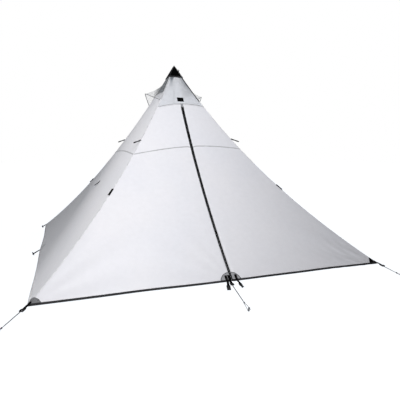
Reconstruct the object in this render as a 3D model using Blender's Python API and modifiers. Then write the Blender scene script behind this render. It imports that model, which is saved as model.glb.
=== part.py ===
"""A four-sided pyramid shelter on a telescoping centre pole, pitched taut with stakes.

The origin is on the ground under the peak. X runs along the front hem, Y to the back, Z up.
Every side of the canopy is one curved surface, turned a quarter turn at a time: its two ridges
and its middle line sag on circular arcs, and it bulges a little between them.
"""

import math

import bmesh
import bpy
import numpy as np
from mathutils import Matrix, Vector

# Canopy: heights are above the ground, drops are below the peak
HALF_BASE = 1.395
PEAK_HEIGHT = 1.9
HEM_HEIGHT = 0.05
RIDGE_SAG = 0.137
PANEL_SAG = 0.09
HEM_DRAW = 0.008
HEM_BAND = 0.45
CLOTH = 0.0008
SEAM_GAP = 0.0004
RIDGE_TRIM = 0.0015
CONE_DROP = 0.13
MESH_DROP = 0.3
TOP_PANEL_DROP = 0.445

# Peak cone, and the cup inside it that takes the pole
CONE_SKIN = 0.0012
CONE_TIP_DROP = 0.014
CONE_RING_SHARES = (0, 0.3, 0.6, 0.82, 1)
CUP_TOP_DROP = 0.052
CUP_LENGTH = 0.05
CUP_BORE_SHARE = 0.72
CUP_GAP = 0.0004

# Vent hoods and their stiffened brims
HOOD_SIDE_DROP = 0.255
HOOD_TIP_DROP = 0.171
HOOD_LIFT = 0.136
HOOD_CLEARANCE = 0.0008
HOOD_BEND_SHARE = 1.2
HOOD_RISE_SHARE = 2.1
BRIM_RADIUS = 0.0016
BRIM_GAP = 0.0005
BRIM_INNER_SHARE = 0.9

# Door in the right half of the front
FOLD_TOP_REACH = 0.016
FOLD_HEM_INSET = 0.18
FOLD_GAP = 0.0006

# Zip: two tapes with a coil each, and a slider that rides on both
ZIP_HALF_GAP = 0.0008
COIL_WIDTH = 0.0028
COIL_ABOVE = 0.0009
COIL_BELOW = 0.0017
TAPE_REACH = 0.008
ZIP_SIDE_GAP = 0.0004
ZIP_FOOT = 0.012
DOOR_COIL_DROP = 0.05
SLIDER_HALF_WIDTH = 0.0056
SLIDER_LENGTH = 0.016
SLIDER_PLATE = 0.0012
SLIDER_CLEARANCE = 0.00045
SLIDER_LIP = 0.0009
SLIDER_WEB = 0.001
SLIDER_PARK_DROP = 0.022
BRIDGE_SPAN = 0.008
BRIDGE_RISE = 0.0036
BRIDGE_WIDTH = 0.003
BRIDGE_THICK = 0.001
BRIDGE_OUTER_SHARES = ((-1, 0), (-1, 0.7), (-0.6, 1), (0.6, 1), (1, 0.7), (1, 0))
PULL_LENGTH = 0.03
PULL_WIDTH = 0.009
PULL_THICK = 0.0012
PULL_BAR = 0.0012
PULL_EYE_LENGTH = 0.0052
PULL_EYE_WIDTH = 0.0042
PULL_AXIS_SHARE = 0.36
PULL_CORNER_SHARE = 0.33
PULL_HOLE_SHARE = 0.47

# Webbing
WEBBING = 0.0012
WEBBING_WIDTH = 0.019
WEBBING_LIFT = 0.0008
CREST_LIFT = 0.0007
CORNER_RISE = 0.025
MID_TIE_INSET = 0.018
MID_TAIL = 0.016

# Cord locks
LOCK_LENGTH = 0.03
LOCK_WIDTH = 0.026
LOCK_THICK = 0.0036
LOCK_BAR = 0.003
LOCK_SLOT = 0.0036
LOCK_SLOT_WIDTH = 0.021
LOCK_RAIL = 0.0028
LOCK_RAIL_RISE = 0.0034
LOCK_WINDOW_LENGTH = 0.0085
LOCK_WINDOW_WIDTH = 0.013
LOCK_TEETH = 4
LOCK_TOOTH = 0.0014
LOCK_EDGE = 0.0004
LOCK_REACH = 0.034
STRAP_GAP = 0.0004

# Stakes: three-bladed, leaning away from the canopy, cut off at the ground
STAKE_HEIGHT = 0.03
STAKE_RADIUS = 0.0068
STAKE_BLADE = 0.0022
STAKE_CORE = 0.0022
STAKE_NOTCH_HEIGHT = 0.014
STAKE_NOTCH_SHARE = 0.7
STAKE_LEVEL_SHARES = (
    (0, 1),
    (0.28, 1),
    (0.34, STAKE_NOTCH_SHARE),
    (0.6, STAKE_NOTCH_SHARE),
    (0.67, 1),
    (0.93, 1),
    (1, 0.78),
)
STAKE_LEAN_SHARE = 0.36
HEM_STAKE_REACH = 0.06
LOOP_INNER = 0.0095
LOOP_MOUTH = 0.003
LOOP_WIDTH = 0.008
LOOP_TILT_ROOM = 0.0009
LOOP_NECK_SHARES = (0.35, 0.45)

# Guylines and the cord loops on the ridges
CORD_RADIUS = 0.0015
CORD_GAP = 0.0004
GUY_STEP = 0.0062
GUY_STRAIGHT_SHARES = (0, 0.25, 0.5, 0.75, 1)
EYE_LENGTH = 0.085
EYE_WIDTH_SHARE = 1.25
EYE_SHOULDER_SHARE = 0.6
EYE_TAPER_SHARE = 0.7
EYE_BEND_SHARE = 0.8
RIDGE_LOOP_HEIGHT = 1.14
RIDGE_LOOP_LENGTH = 0.058
RIDGE_LOOP_WIDTH = 0.011
RIDGE_LOOP_STEP = 0.0068
RIDGE_LOOP_RADIUS = 0.0012
RIDGE_LOOP_HANG_SHARE = 0.9
RIDGE_LOOP_SHARES = ((0.45, 0.02), (0.9, 0.2), (1, 0.6), (0.9, 0.95), (0.45, 1))
TAB_HEIGHT = 0.7
TAB_DROP = 0.032
TAB_WIDTH = 0.015
TAB_FLARE = 0.007
TAB_SHARES = (0, 0.4, 0.75, 1)
SIDE_TAB_HEIGHT = 0.72

# Side-release buckle beside the foot of the zip, its halves hanging apart on webbing
BUCKLE_INSET = 0.04
BUCKLE_TAIL = 0.05
SOCKET_LENGTH = 0.036
BUCKLE_WIDTH = 0.028
BUCKLE_THICK = 0.0078
BUCKLE_WALL = 0.0014
BUCKLE_ROUND = 0.0007
BUCKLE_GAP = 0.0005
BUCKLE_WINDOW = 0.0095
BUCKLE_WINDOW_INSET = 0.0112
BUCKLE_BAR = 0.0024
BUCKLE_SLOT = 0.0034
PLUG_LENGTH = 0.017
PRONG_LENGTH = 0.022
PRONG_WIDTH = 0.0038
PRONG_LEAN_SHARE = 0.3
PRONG_TIP = 0.007

# Centre pole
LOWER_RADIUS = 0.012
TUBE_WALL = 0.0012
POLE_CLEARANCE = 0.0003
LOWER_LENGTH = 0.95
POLE_OVERLAP = 0.35
FOOT_RADIUS = 0.018
FOOT_HEIGHT = 0.032
FOOT_SOLE = 0.008
FOOT_RIM = 0.0025
POLE_TIP_RADIUS = 0.0075
POLE_PLUG = 0.03
COLLAR_RADIUS = 0.0165
COLLAR_HEIGHT = 0.034
COLLAR_CAP = 0.006
EAR_REACH = 0.01
EAR_WIDTH = 0.007
PIN_RADIUS = 0.0022
PIN_GAP = 0.0003
LEVER_THICK = 0.003
LEVER_HEIGHT = 0.018
LEVER_GAP = 0.0007
LEVER_BARREL_WALL = 0.0018
LEVER_START = math.radians(5)
LEVER_SWEEP = math.radians(175)
LEVER_FLICK = 0.004

# Level runs of the guylines, from under each tie of the hem to the foot of its stake
GUY_RUNS = {
    "front_left": Vector((-0.153, -0.27, 0)),
    "front_right": Vector((-0.011, -0.267, 0)),
    "front_mid": Vector((-0.088, -0.392, 0)),
}

# Level runs of the two hanging buckle halves, and how far their tips stay off the ground
SOCKET_RUN = Vector((-0.011, -0.053, 0))
PLUG_RUN = Vector((0.029, -0.046, 0))
BUCKLE_TIP_RISE = 0.0074

# How far a cutter runs past what it cuts, and how near two points merge
OVERRUN = 0.004
MERGE = 0.00005

# Points and sides of the faceted shapes
PANEL_ROWS = 13
FRONT_ROWS = 15
PANEL_COLUMNS = 13
HOOD_COLUMNS = 13
HOOD_ROWS = 7
BRIM_POINTS = 19
ZIP_RINGS = 20
TUBE_SIDES = 24
PIN_SIDES = 12
BARREL_SIDES = 20
LEVER_POINTS = 15
LOOP_TURNS = 9
EYE_TURNS = 5

CANOPY_FINISH = ((0.80, 0.80, 0.84, 1), 0.42, 0.0)
TOP_FINISH = ((0.74, 0.75, 0.79, 1), 0.42, 0.0)
CONE_FINISH = ((0.012, 0.012, 0.013, 1), 0.7, 0.0)
MESH_FINISH = ((0.03, 0.032, 0.036, 1), 0.8, 0.0)
WEB_FINISH = ((0.015, 0.015, 0.016, 1), 0.75, 0.0)
PLASTIC_FINISH = ((0.012, 0.012, 0.014, 1), 0.4, 0.0)
CORD_FINISH = ((0.55, 0.56, 0.56, 1), 0.7, 0.0)
STAKE_FINISH = ((0.62, 0.63, 0.65, 1), 0.3, 1.0)
POLE_FINISH = ((0.2, 0.21, 0.23, 1), 0.35, 1.0)
RUBBER_FINISH = ((0.02, 0.02, 0.02, 1), 0.85, 0.0)

QUARTER = math.pi / 2
TURNS = {"front": 0, "right": QUARTER, "back": 2 * QUARTER, "left": 3 * QUARTER}
# Each corner is at the left end of a side, seen from outside
CORNERS = {"front_left": "front", "front_right": "right", "back_right": "back", "back_left": "left"}
UP = Vector((0, 0, 1))
ACROSS = Vector((1, 0, 0))


def collection(name, hidden=False):
    made = bpy.data.collections.new(name)
    made.hide_render = hidden
    bpy.context.scene.collection.children.link(made)
    return made


for old in list(bpy.data.objects):
    bpy.data.objects.remove(old, do_unlink=True)
TENT = collection("pyramid_tent")
CUTTERS = collection("cutters", hidden=True)


def material(name, finish):
    colour, roughness, metallic = finish
    made = bpy.data.materials.new(name)
    made.use_nodes = True
    shader = made.node_tree.nodes["Principled BSDF"]
    shader.inputs["Base Color"].default_value = colour
    shader.inputs["Roughness"].default_value = roughness
    shader.inputs["Metallic"].default_value = metallic
    return made


def add(name, data, finish, place=None):
    """A part from a mesh or a curve, with its own material, at the place given by a matrix."""
    made = bpy.data.objects.new(name, data)
    data.materials.append(material(name, finish))
    TENT.objects.link(made)
    if place is not None:
        made.matrix_world = place
    return made


def taken(name, shape):
    """The mesh that a bmesh holds."""
    mesh = bpy.data.meshes.new(name)
    shape.to_mesh(mesh)
    shape.free()
    return mesh


def grid_mesh(name, grid):
    """An open surface over points in rows, top to bottom and left to right as seen from outside."""
    rows, columns = grid.shape[:2]
    number = np.arange(rows * columns).reshape(rows, columns)
    corners = (number[:-1, :-1], number[1:, :-1], number[1:, 1:], number[:-1, 1:])
    faces = np.stack(corners, -1).reshape(-1, 4)
    mesh = bpy.data.meshes.new(name)
    mesh.from_pydata(grid.reshape(-1, 3).tolist(), [], faces.tolist())
    mesh.update()
    mesh.shade_smooth()
    return mesh


def thicken(part, thick, offset=-1.0):
    solid = part.modifiers.new("thickness", "SOLIDIFY")
    solid.thickness = thick
    solid.offset = offset
    solid.use_even_offset = True
    return part


def cloth(name, grid, finish):
    """A cloth whose outer face goes through a grid of points."""
    return thicken(add(name, grid_mesh(name, grid), finish), CLOTH)


def loft_mesh(name, rings, tip=None):
    """A solid through rings of points, closed by flat ends, or open below and pointed at a tip."""
    shape = bmesh.new()
    loops = [[shape.verts.new(point) for point in ring] for ring in rings]
    for low, high in zip(loops, loops[1:]):
        for k in range(len(low)):
            after = (k + 1) % len(low)
            shape.faces.new((low[k], low[after], high[after], high[k]))
    if tip is None:
        shape.faces.new(reversed(loops[0]))
        shape.faces.new(loops[-1])
        bmesh.ops.recalc_face_normals(shape, faces=shape.faces)
    else:
        peak = shape.verts.new(tip)
        last = loops[-1]
        for k, spot in enumerate(last):
            shape.faces.new((spot, last[(k + 1) % len(last)], peak))
    return taken(name, shape)


def box_mesh(name, low, high):
    """A box from its low corner to its high corner."""
    shape = bmesh.new()
    low, high = Vector(low), Vector(high)
    place = Matrix.LocRotScale((low + high) / 2, None, high - low)
    bmesh.ops.create_cube(shape, size=1, matrix=place)
    return taken(name, shape)


def rod_mesh(name, radius, length, sides, middle=(0, 0, 0)):
    """An upright round rod about its middle."""
    shape = bmesh.new()
    place = Matrix.Translation(middle)
    bmesh.ops.create_cone(
        shape, cap_ends=True, segments=sides, radius1=radius, radius2=radius, depth=length, matrix=place
    )
    return taken(name, shape)


def combine(part, operation, mesh, place=None):
    """Joins a hidden shape to a part, or cuts the part with it."""
    hidden = bpy.data.objects.new(mesh.name, mesh)
    CUTTERS.objects.link(hidden)
    hidden.display_type = "WIRE"
    hidden.hide_render = True
    if place is not None:
        hidden.matrix_world = place
    change = part.modifiers.new(mesh.name, "BOOLEAN")
    change.operation = operation
    change.object = hidden


def turned(name, profile, finish):
    """A turned part: its profile, as (radius, height), runs down the outside to the axis or its start."""
    count = len(profile)
    closed = profile[0][0] > 0 and profile[-1][0] > 0
    edges = [(k, (k + 1) % count) for k in range(count if closed else count - 1)]
    mesh = bpy.data.meshes.new(name)
    mesh.from_pydata([(radius, 0, height) for radius, height in profile], edges, [])
    made = add(name, mesh, finish)
    screw = made.modifiers.new("turn", "SCREW")
    screw.steps = screw.render_steps = TUBE_SIDES
    screw.use_merge_vertices = True
    screw.merge_threshold = MERGE
    return made


def cord(name, points, radius, finish):
    """A round cord or rod along points."""
    curve = bpy.data.curves.new(name, "CURVE")
    curve.dimensions = "3D"
    curve.bevel_depth = radius
    curve.bevel_resolution = 2
    curve.use_fill_caps = True
    line = curve.splines.new("POLY")
    line.points.add(len(points) - 1)
    for spot, point in zip(line.points, points):
        spot.co = (*point, 1)
    return add(name, curve, finish)


def smooth_line(points, step):
    """Places about a step apart on a smooth curve through the points."""
    points = np.array([tuple(point) for point in points])
    before = np.vstack([2 * points[0] - points[1], points[:-1]])
    after = np.vstack([points[1:], 2 * points[-1] - points[-2]])
    slope = (after - before) / 2
    share = np.linspace(0, 1, 24, endpoint=False)[:, None]
    rise = 3 * share**2 - 2 * share**3
    lead = share**3 - 2 * share**2 + share
    trail = share**3 - share**2
    pieces = []
    for k in range(len(points) - 1):
        along = points[k + 1] - points[k]
        pieces.append(points[k] + along * rise + slope[k] * lead + slope[k + 1] * trail)
    dense = np.vstack([*pieces, points[-1:]])
    run = np.concatenate([[0], np.cumsum(np.linalg.norm(np.diff(dense, axis=0), axis=1))])
    at = np.linspace(0, run[-1], round(run[-1] / step) + 1)
    return np.stack([np.interp(at, run, dense[:, k]) for k in range(3)], -1)


def strap(name, line, sides, width, offset):
    """Webbing along a line, where each point has the direction of the webbing's width."""
    half = width / 2
    grid = np.array([[tuple(p - s * half), tuple(p + s * half)] for p, s in zip(line, sides)])
    return thicken(add(name, grid_mesh(name, grid), WEB_FINISH), WEBBING, offset)


def rounded(width, length, corner, steps, centre=(0, 0)):
    """A rectangle with round corners, counter-clockwise, as points."""
    outline = []
    for quadrant, (sx, sy) in enumerate(((1, 1), (-1, 1), (-1, -1), (1, -1))):
        for step in range(steps + 1):
            turn = (quadrant + step / steps) * QUARTER
            x = sx * (width / 2 - corner) + corner * math.cos(turn)
            y = sy * (length / 2 - corner) + corner * math.sin(turn)
            outline.append((x + centre[0], y + centre[1]))
    return outline


def plate_mesh(name, outlines, thick):
    """A flat plate in X and Y from an outer outline and its holes."""
    curve = bpy.data.curves.new(name, "CURVE")
    curve.dimensions = "2D"
    curve.fill_mode = "BOTH"
    curve.extrude = thick / 2
    for outline in outlines:
        line = curve.splines.new("POLY")
        line.points.add(len(outline) - 1)
        line.use_cyclic_u = True
        for spot, (x, y) in zip(line.points, outline):
            spot.co = (x, y, 0, 1)
    holder = bpy.data.objects.new(name, curve)
    bpy.context.scene.collection.objects.link(holder)
    graph = bpy.context.evaluated_depsgraph_get()
    flat = bpy.data.meshes.new_from_object(holder.evaluated_get(graph))
    bpy.data.objects.remove(holder)
    bpy.data.curves.remove(curve)
    shape = bmesh.new()
    shape.from_mesh(flat)
    bmesh.ops.remove_doubles(shape, verts=shape.verts, dist=MERGE)
    return taken(name, shape)


def arc_of(span, sag):
    """The circle through the peak and a hem point that far out, sagging inwards: its centre and radius."""
    rise = PEAK_HEIGHT - HEM_HEIGHT
    chord = math.hypot(span, rise)
    radius = (chord**2 / 4 + sag**2) / (2 * sag)
    away = radius - sag
    out = span / 2 + away * rise / chord
    up = (PEAK_HEIGHT + HEM_HEIGHT) / 2 + away * span / chord
    return out, up, radius


RIDGE_ARC = arc_of(HALF_BASE * math.sqrt(2), RIDGE_SAG)
PANEL_ARC = arc_of(HALF_BASE, PANEL_SAG)
CONE_BASE = PEAK_HEIGHT - CONE_DROP
MESH_BASE = PEAK_HEIGHT - MESH_DROP
TOP_PANEL_BASE = PEAK_HEIGHT - TOP_PANEL_DROP
BELOW_CONE = CONE_BASE - SEAM_GAP
BELOW_MESH = MESH_BASE - SEAM_GAP
BELOW_TOP = TOP_PANEL_BASE - SEAM_GAP


def reach_on(arc, height):
    out, up, radius = arc
    return out - np.sqrt(radius**2 - (height - up) ** 2)


def ridge_reach(height):
    """How far the ridge is from the middle planes at a height."""
    return reach_on(RIDGE_ARC, height) / math.sqrt(2)


def side_reach(share, height):
    """How far out a side's surface is, at a share of the way from its middle line to its ridge."""
    ridge, middle = ridge_reach(height), reach_on(PANEL_ARC, height)
    near_hem = np.clip(1 - (height - HEM_HEIGHT) / HEM_BAND, 0, 1) ** 2
    drawn = HEM_DRAW * np.sin(math.pi * share) ** 2 * near_hem
    return ridge + (middle - ridge) * (1 - share**2) - drawn


def on_side(side, across, height, lift=0.0):
    """World points of a side's surface, from the place across it and the height, moved outwards by lift."""
    reach = side_reach(across / ridge_reach(height), height) + lift
    turn = TURNS[side]
    across, reach, height = np.broadcast_arrays(across, reach, height)
    x = across * math.cos(turn) + reach * math.sin(turn)
    y = across * math.sin(turn) - reach * math.cos(turn)
    return np.stack([x, y, height], -1)


def panel_grid(side, left, right, top, rows, columns, bottom=HEM_HEIGHT):
    """Points of a panel between its left and right edges, both functions of height, from its top down."""
    across = np.linspace(0, 1, columns)[None, :]
    down = np.linspace(0, 1, rows)[:, None]
    height = top + (bottom - top) * down
    place = left(height) + (right(height) - left(height)) * across
    return on_side(side, place, height)


def right_edge(height):
    return ridge_reach(height) - RIDGE_TRIM


def left_edge(height):
    return -right_edge(height)


def zip_right(height):
    return TAPE_REACH + ZIP_SIDE_GAP + 0 * height


def zip_left(height):
    return -zip_right(height)


def fold_at(height):
    """The fold that the door swings on, as a place across the front."""
    foot = HALF_BASE - FOLD_HEM_INSET
    share = (TOP_PANEL_BASE - height) / (TOP_PANEL_BASE - HEM_HEIGHT)
    return FOLD_TOP_REACH + (foot - FOLD_TOP_REACH) * share


def fold_left(height):
    return fold_at(height) - FOLD_GAP


def fold_right(height):
    return fold_at(height) + FOLD_GAP


def door_axis():
    """The line that the door folds on: straight, from the fold's foot at the hem to its top."""
    heights = HEM_HEIGHT, TOP_PANEL_BASE
    foot, top = (Vector(on_side("front", fold_at(height), height).tolist()) for height in heights)
    along = (top - foot).normalized()
    out = along.cross(ACROSS).normalized()
    frame = Matrix((along.cross(out), out, along)).transposed().to_4x4()
    frame.translation = foot
    return frame


def pivot(name, place, parts):
    """An empty on a joint's axis, along its Z, that carries the pieces that move on it."""
    made = bpy.data.objects.new(name, None)
    TENT.objects.link(made)
    made.matrix_world = place
    for part in parts:
        carried = bpy.data.objects[part]
        carried.parent = made
        carried.matrix_parent_inverse = place.inverted()


def make_pivots():
    """The door and its buckle half hang on the fold, and the slider on the middle of the front's arc."""
    pivot("door_fold", door_axis(), ("door_panel", "zip_chain_right", "door_strap", "buckle_plug"))
    out, up, radius = PANEL_ARC
    centre = Matrix.Translation((0, -out, up)) @ Matrix.Rotation(-QUARTER, 4, "Y")
    pivot("zip_run", centre, ("zip_slider", "zip_pull"))
    pivot("pole_extend", Matrix.Identity(4), ("pole_upper",))


def make_canopy():
    """The panels: a whole back, two sides below their vents, and a front in four pieces round the door."""
    top = panel_grid("front", left_edge, right_edge, BELOW_CONE, 7, 7, TOP_PANEL_BASE)
    cloth("front_top_panel", top, TOP_FINISH)
    left = panel_grid("front", left_edge, zip_left, BELOW_TOP, FRONT_ROWS, 9)
    cloth("front_left_panel", left, CANOPY_FINISH)
    yoke = panel_grid("front", fold_right, right_edge, BELOW_TOP, FRONT_ROWS, 4)
    cloth("front_right_yoke", yoke, CANOPY_FINISH)
    door = panel_grid("front", zip_right, fold_left, BELOW_TOP, FRONT_ROWS, 8)
    cloth("door_panel", door, CANOPY_FINISH)
    back = panel_grid("back", left_edge, right_edge, BELOW_CONE, FRONT_ROWS, PANEL_COLUMNS)
    cloth("back_panel", back, CANOPY_FINISH)
    for side in ("left", "right"):
        panel = panel_grid(side, left_edge, right_edge, BELOW_MESH, PANEL_ROWS, PANEL_COLUMNS)
        cloth(f"{side}_panel", panel, CANOPY_FINISH)
        vent = panel_grid(side, left_edge, right_edge, BELOW_CONE, 4, 7, MESH_BASE)
        cloth(f"{side}_vent_mesh", vent, MESH_FINISH)


def hood_points(side, across, down):
    """Points of a vent hood: across from ridge to ridge, and down from the cone to the brim."""
    bend = np.abs(across) ** HOOD_BEND_SHARE
    height = BELOW_CONE - (HOOD_SIDE_DROP * bend + HOOD_TIP_DROP * (1 - bend)) * down
    slope = math.atan2(PEAK_HEIGHT, HALF_BASE)
    lift = (CLOTH + HOOD_CLEARANCE) / math.sin(slope) + HOOD_LIFT * down**HOOD_RISE_SHARE * (1 - bend)
    return on_side(side, across * right_edge(height), height, lift)


def make_hoods():
    """A peaked hood over each vent, sewn along the ridges, with a stiff rod along its brim."""
    across = np.linspace(-1, 1, HOOD_COLUMNS)[None, :]
    down = np.linspace(0, 1, HOOD_ROWS)[:, None]
    along = np.linspace(-1, 1, BRIM_POINTS)
    for side in ("left", "right"):
        cloth(f"{side}_vent_hood", hood_points(side, across, down), TOP_FINISH)
        edge = hood_points(side, along, np.ones(BRIM_POINTS))
        out = edge - hood_points(side, along, np.full(BRIM_POINTS, BRIM_INNER_SHARE))
        out /= np.linalg.norm(out, axis=1, keepdims=True)
        line = edge + out * (BRIM_RADIUS + BRIM_GAP)
        cord(f"{side}_vent_brim", line[1:-1], BRIM_RADIUS, WEB_FINISH)


def side_ring(height, inset=0.0):
    """A ring round all four sides at a height, moved in towards the axis, counter-clockwise from above."""
    ring = []
    for side in ("front", "right", "back", "left"):
        for share in (-1, -0.5, 0, 0.5):
            x, y, z = on_side(side, share * ridge_reach(height), height)
            keep = 1 - inset / math.hypot(x, y)
            ring.append((x * keep, y * keep, z))
    return ring


def make_peak():
    """The black cap over the peak, and the cup inside it whose bore takes the pole's tip."""
    tip = PEAK_HEIGHT - CONE_TIP_DROP
    rings = [side_ring(CONE_BASE + (tip - CONE_BASE) * share) for share in CONE_RING_SHARES]
    thicken(add("peak_cone", loft_mesh("peak_cone", rings, (0, 0, PEAK_HEIGHT)), CONE_FINISH), CONE_SKIN)
    cup_top = PEAK_HEIGHT - CUP_TOP_DROP
    cup_low = cup_top - CUP_LENGTH
    inset = 2 * CONE_SKIN + CUP_GAP
    mesh = loft_mesh("peak_cup", [side_ring(height, inset) for height in (cup_low, cup_top)])
    cup = add("peak_cup", mesh, PLASTIC_FINISH)
    depth = CUP_LENGTH * CUP_BORE_SHARE + OVERRUN
    middle = (0, 0, cup_low - OVERRUN + depth / 2)
    bore = rod_mesh("cup_bore", POLE_TIP_RADIUS + POLE_CLEARANCE, depth, TUBE_SIDES, middle)
    combine(cup, "DIFFERENCE", bore)


def front_frame(height, across=0.0, out=0.0):
    """A place on the front's middle line: X across, Y up the slope, Z out of the cloth."""
    centre_out, centre_up, radius = PANEL_ARC
    reach = reach_on(PANEL_ARC, height)
    normal = Vector((0, -(centre_out - reach) / radius, (centre_up - height) / radius))
    frame = Matrix((ACROSS, normal.cross(ACROSS), normal)).transposed().to_4x4()
    frame.translation = Vector((across, -reach, height)) + normal * out
    return frame


def zip_side(name, top, sign):
    """One tape with its coil: a section carried up the front's middle arc."""
    coil = ZIP_HALF_GAP + COIL_WIDTH
    outline = (
        (ZIP_HALF_GAP, COIL_ABOVE),
        (ZIP_HALF_GAP, -COIL_BELOW),
        (coil, -COIL_BELOW),
        (coil, -CLOTH),
        (TAPE_REACH, -CLOTH),
        (TAPE_REACH, 0),
        (coil, 0),
        (coil, COIL_ABOVE),
    )
    rings = []
    for height in np.linspace(HEM_HEIGHT + ZIP_FOOT, top, ZIP_RINGS):
        frame = front_frame(float(height))
        rings.append([frame @ Vector((sign * x, 0, z)) for x, z in outline])
    add(name, loft_mesh(name, rings), CONE_FINISH)


def slider_outline(top, low):
    """The slider across the zip: two plates with lips, and the web between the coils."""
    inner_top = COIL_ABOVE + SLIDER_CLEARANCE
    inner_low = -COIL_BELOW - SLIDER_CLEARANCE
    half, lip, web = SLIDER_HALF_WIDTH, SLIDER_HALF_WIDTH - SLIDER_LIP, SLIDER_WEB / 2
    right = [
        (half, top),
        (half, SLIDER_CLEARANCE),
        (lip, SLIDER_CLEARANCE),
        (lip, inner_top),
        (web, inner_top),
        (web, inner_low),
        (lip, inner_low),
        (lip, -CLOTH - SLIDER_CLEARANCE),
        (half, -CLOTH - SLIDER_CLEARANCE),
        (half, low),
    ]
    return right + [(-x, z) for x, z in reversed(right)]


def make_slider():
    """The slider, parked at the head of the zip above the door's coil, with the bridge for its pull."""
    top = COIL_ABOVE + SLIDER_CLEARANCE + SLIDER_PLATE
    low = -COIL_BELOW - SLIDER_CLEARANCE - SLIDER_PLATE
    rest = front_frame(TOP_PANEL_BASE - SLIDER_PARK_DROP)
    ends = (-SLIDER_LENGTH / 2, SLIDER_LENGTH / 2)
    rings = [[Vector((x, y, z)) for x, z in slider_outline(top, low)] for y in ends]
    slider = add("zip_slider", loft_mesh("zip_slider", rings), PLASTIC_FINISH, rest)
    reach, root = BRIDGE_SPAN / 2, top - SLIDER_PLATE / 2
    arch = [(y * reach, top + z * BRIDGE_RISE if z else root) for y, z in BRIDGE_OUTER_SHARES]
    inner, rise = reach - BRIDGE_THICK, BRIDGE_RISE - BRIDGE_THICK
    arch += [(y * inner, top + z * rise if z else root) for y, z in reversed(BRIDGE_OUTER_SHARES)]
    sides = (-BRIDGE_WIDTH / 2, BRIDGE_WIDTH / 2)
    bridge = loft_mesh("slider_bridge", [[Vector((x, y, z)) for y, z in arch] for x in sides])
    combine(slider, "UNION", bridge, rest)
    make_pull(rest @ Matrix.Translation((0, 0, top + PULL_AXIS_SHARE * BRIDGE_RISE)))


def make_pull(place):
    """The pull: a plate that hangs from the bridge by its bar, with a hole for a tail of cord."""
    length = PULL_LENGTH + PULL_BAR / 2
    outer = rounded(PULL_WIDTH, length, PULL_WIDTH * PULL_CORNER_SHARE, 3, (0, PULL_BAR / 2 - length / 2))
    eye_middle = -(PULL_BAR + PULL_EYE_LENGTH) / 2
    eye = rounded(PULL_EYE_WIDTH, PULL_EYE_LENGTH, PULL_BAR / 2, 2, (0, eye_middle))
    hole_middle = PULL_WIDTH / 2 - PULL_LENGTH
    corner = PULL_EYE_WIDTH * PULL_HOLE_SHARE
    hole = rounded(PULL_EYE_WIDTH, PULL_EYE_WIDTH, corner, 2, (0, hole_middle))
    add("zip_pull", plate_mesh("zip_pull", (outer, eye, hole), PULL_THICK), PLASTIC_FINISH, place)


def make_zip():
    zip_side("zip_chain_left", BELOW_TOP - ZIP_SIDE_GAP, -1)
    zip_side("zip_chain_right", TOP_PANEL_BASE - DOOR_COIL_DROP, 1)
    make_slider()


def frame_along(start, ahead):
    """A place with X along ahead, Y level and Z as near up as it can be."""
    across = UP.cross(ahead).normalized()
    frame = Matrix((ahead, across, ahead.cross(across))).transposed().to_4x4()
    frame.translation = start
    return frame


def corner_point(side):
    """The canopy's corner at the left end of a side."""
    return Vector(on_side(side, -HALF_BASE, HEM_HEIGHT).tolist())


def ridge_point(side, height, lift=0.0):
    """A point of the ridge at the left end of a side, moved out along the diagonal."""
    reach = ridge_reach(height) + lift / math.sqrt(2)
    turn = TURNS[side]
    x = reach * (math.sin(turn) - math.cos(turn))
    y = -reach * (math.sin(turn) + math.cos(turn))
    return Vector((x, y, height))


def middle_point(side, height, lift=0.0):
    """A point of a side's middle line, moved outwards."""
    return Vector(on_side(side, 0.0, height, lift).tolist())


def level(vector):
    """The level direction of a vector."""
    return Vector((vector.x, vector.y, 0)).normalized()


def stake_places():
    """Each stake's foot, and the level direction that it leans in, away from the canopy."""
    places = {}
    for name, run in GUY_RUNS.items():
        tie = corner_point(CORNERS[name]) if name in CORNERS else middle_point("front", HEM_HEIGHT)
        places[name] = (tie - UP * tie.z + run, run.normalized())
    for name in ("back_left", "back_right"):
        tie = corner_point(CORNERS[name])
        places[name] = (tie - UP * tie.z + level(tie) * HEM_STAKE_REACH, level(tie))
    for side in ("left", "right", "back"):
        tie = middle_point(side, HEM_HEIGHT)
        places[f"{side}_mid"] = (tie - UP * tie.z + level(tie) * HEM_STAKE_REACH, level(tie))
    return places


def notch_of(place):
    """The stake's leaning middle at its notch."""
    foot, out = place
    return foot + (out * STAKE_LEAN_SHARE + UP) * STAKE_NOTCH_HEIGHT


def make_stake(name, place):
    """A three-bladed stake's head above the ground, narrowed where a cord or a loop holds it."""
    foot, out = place
    outline = []
    for blade in range(3):
        turn = math.atan2(out.y, out.x) + blade * math.tau / 3
        along = Vector((math.cos(turn), math.sin(turn), 0))
        aside = UP.cross(along) * STAKE_BLADE / 2
        between = turn + math.tau / 6
        outline.append(along * STAKE_RADIUS - aside)
        outline.append(along * STAKE_RADIUS + aside)
        outline.append(Vector((math.cos(between), math.sin(between), 0)) * STAKE_CORE)
    rings = []
    for up_share, width_share in STAKE_LEVEL_SHARES:
        middle = foot + (out * STAKE_LEAN_SHARE + UP) * up_share * STAKE_HEIGHT
        rings.append([middle + spot * width_share for spot in outline])
    add(f"{name}_stake", loft_mesh(name, rings), STAKE_FINISH)


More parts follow.
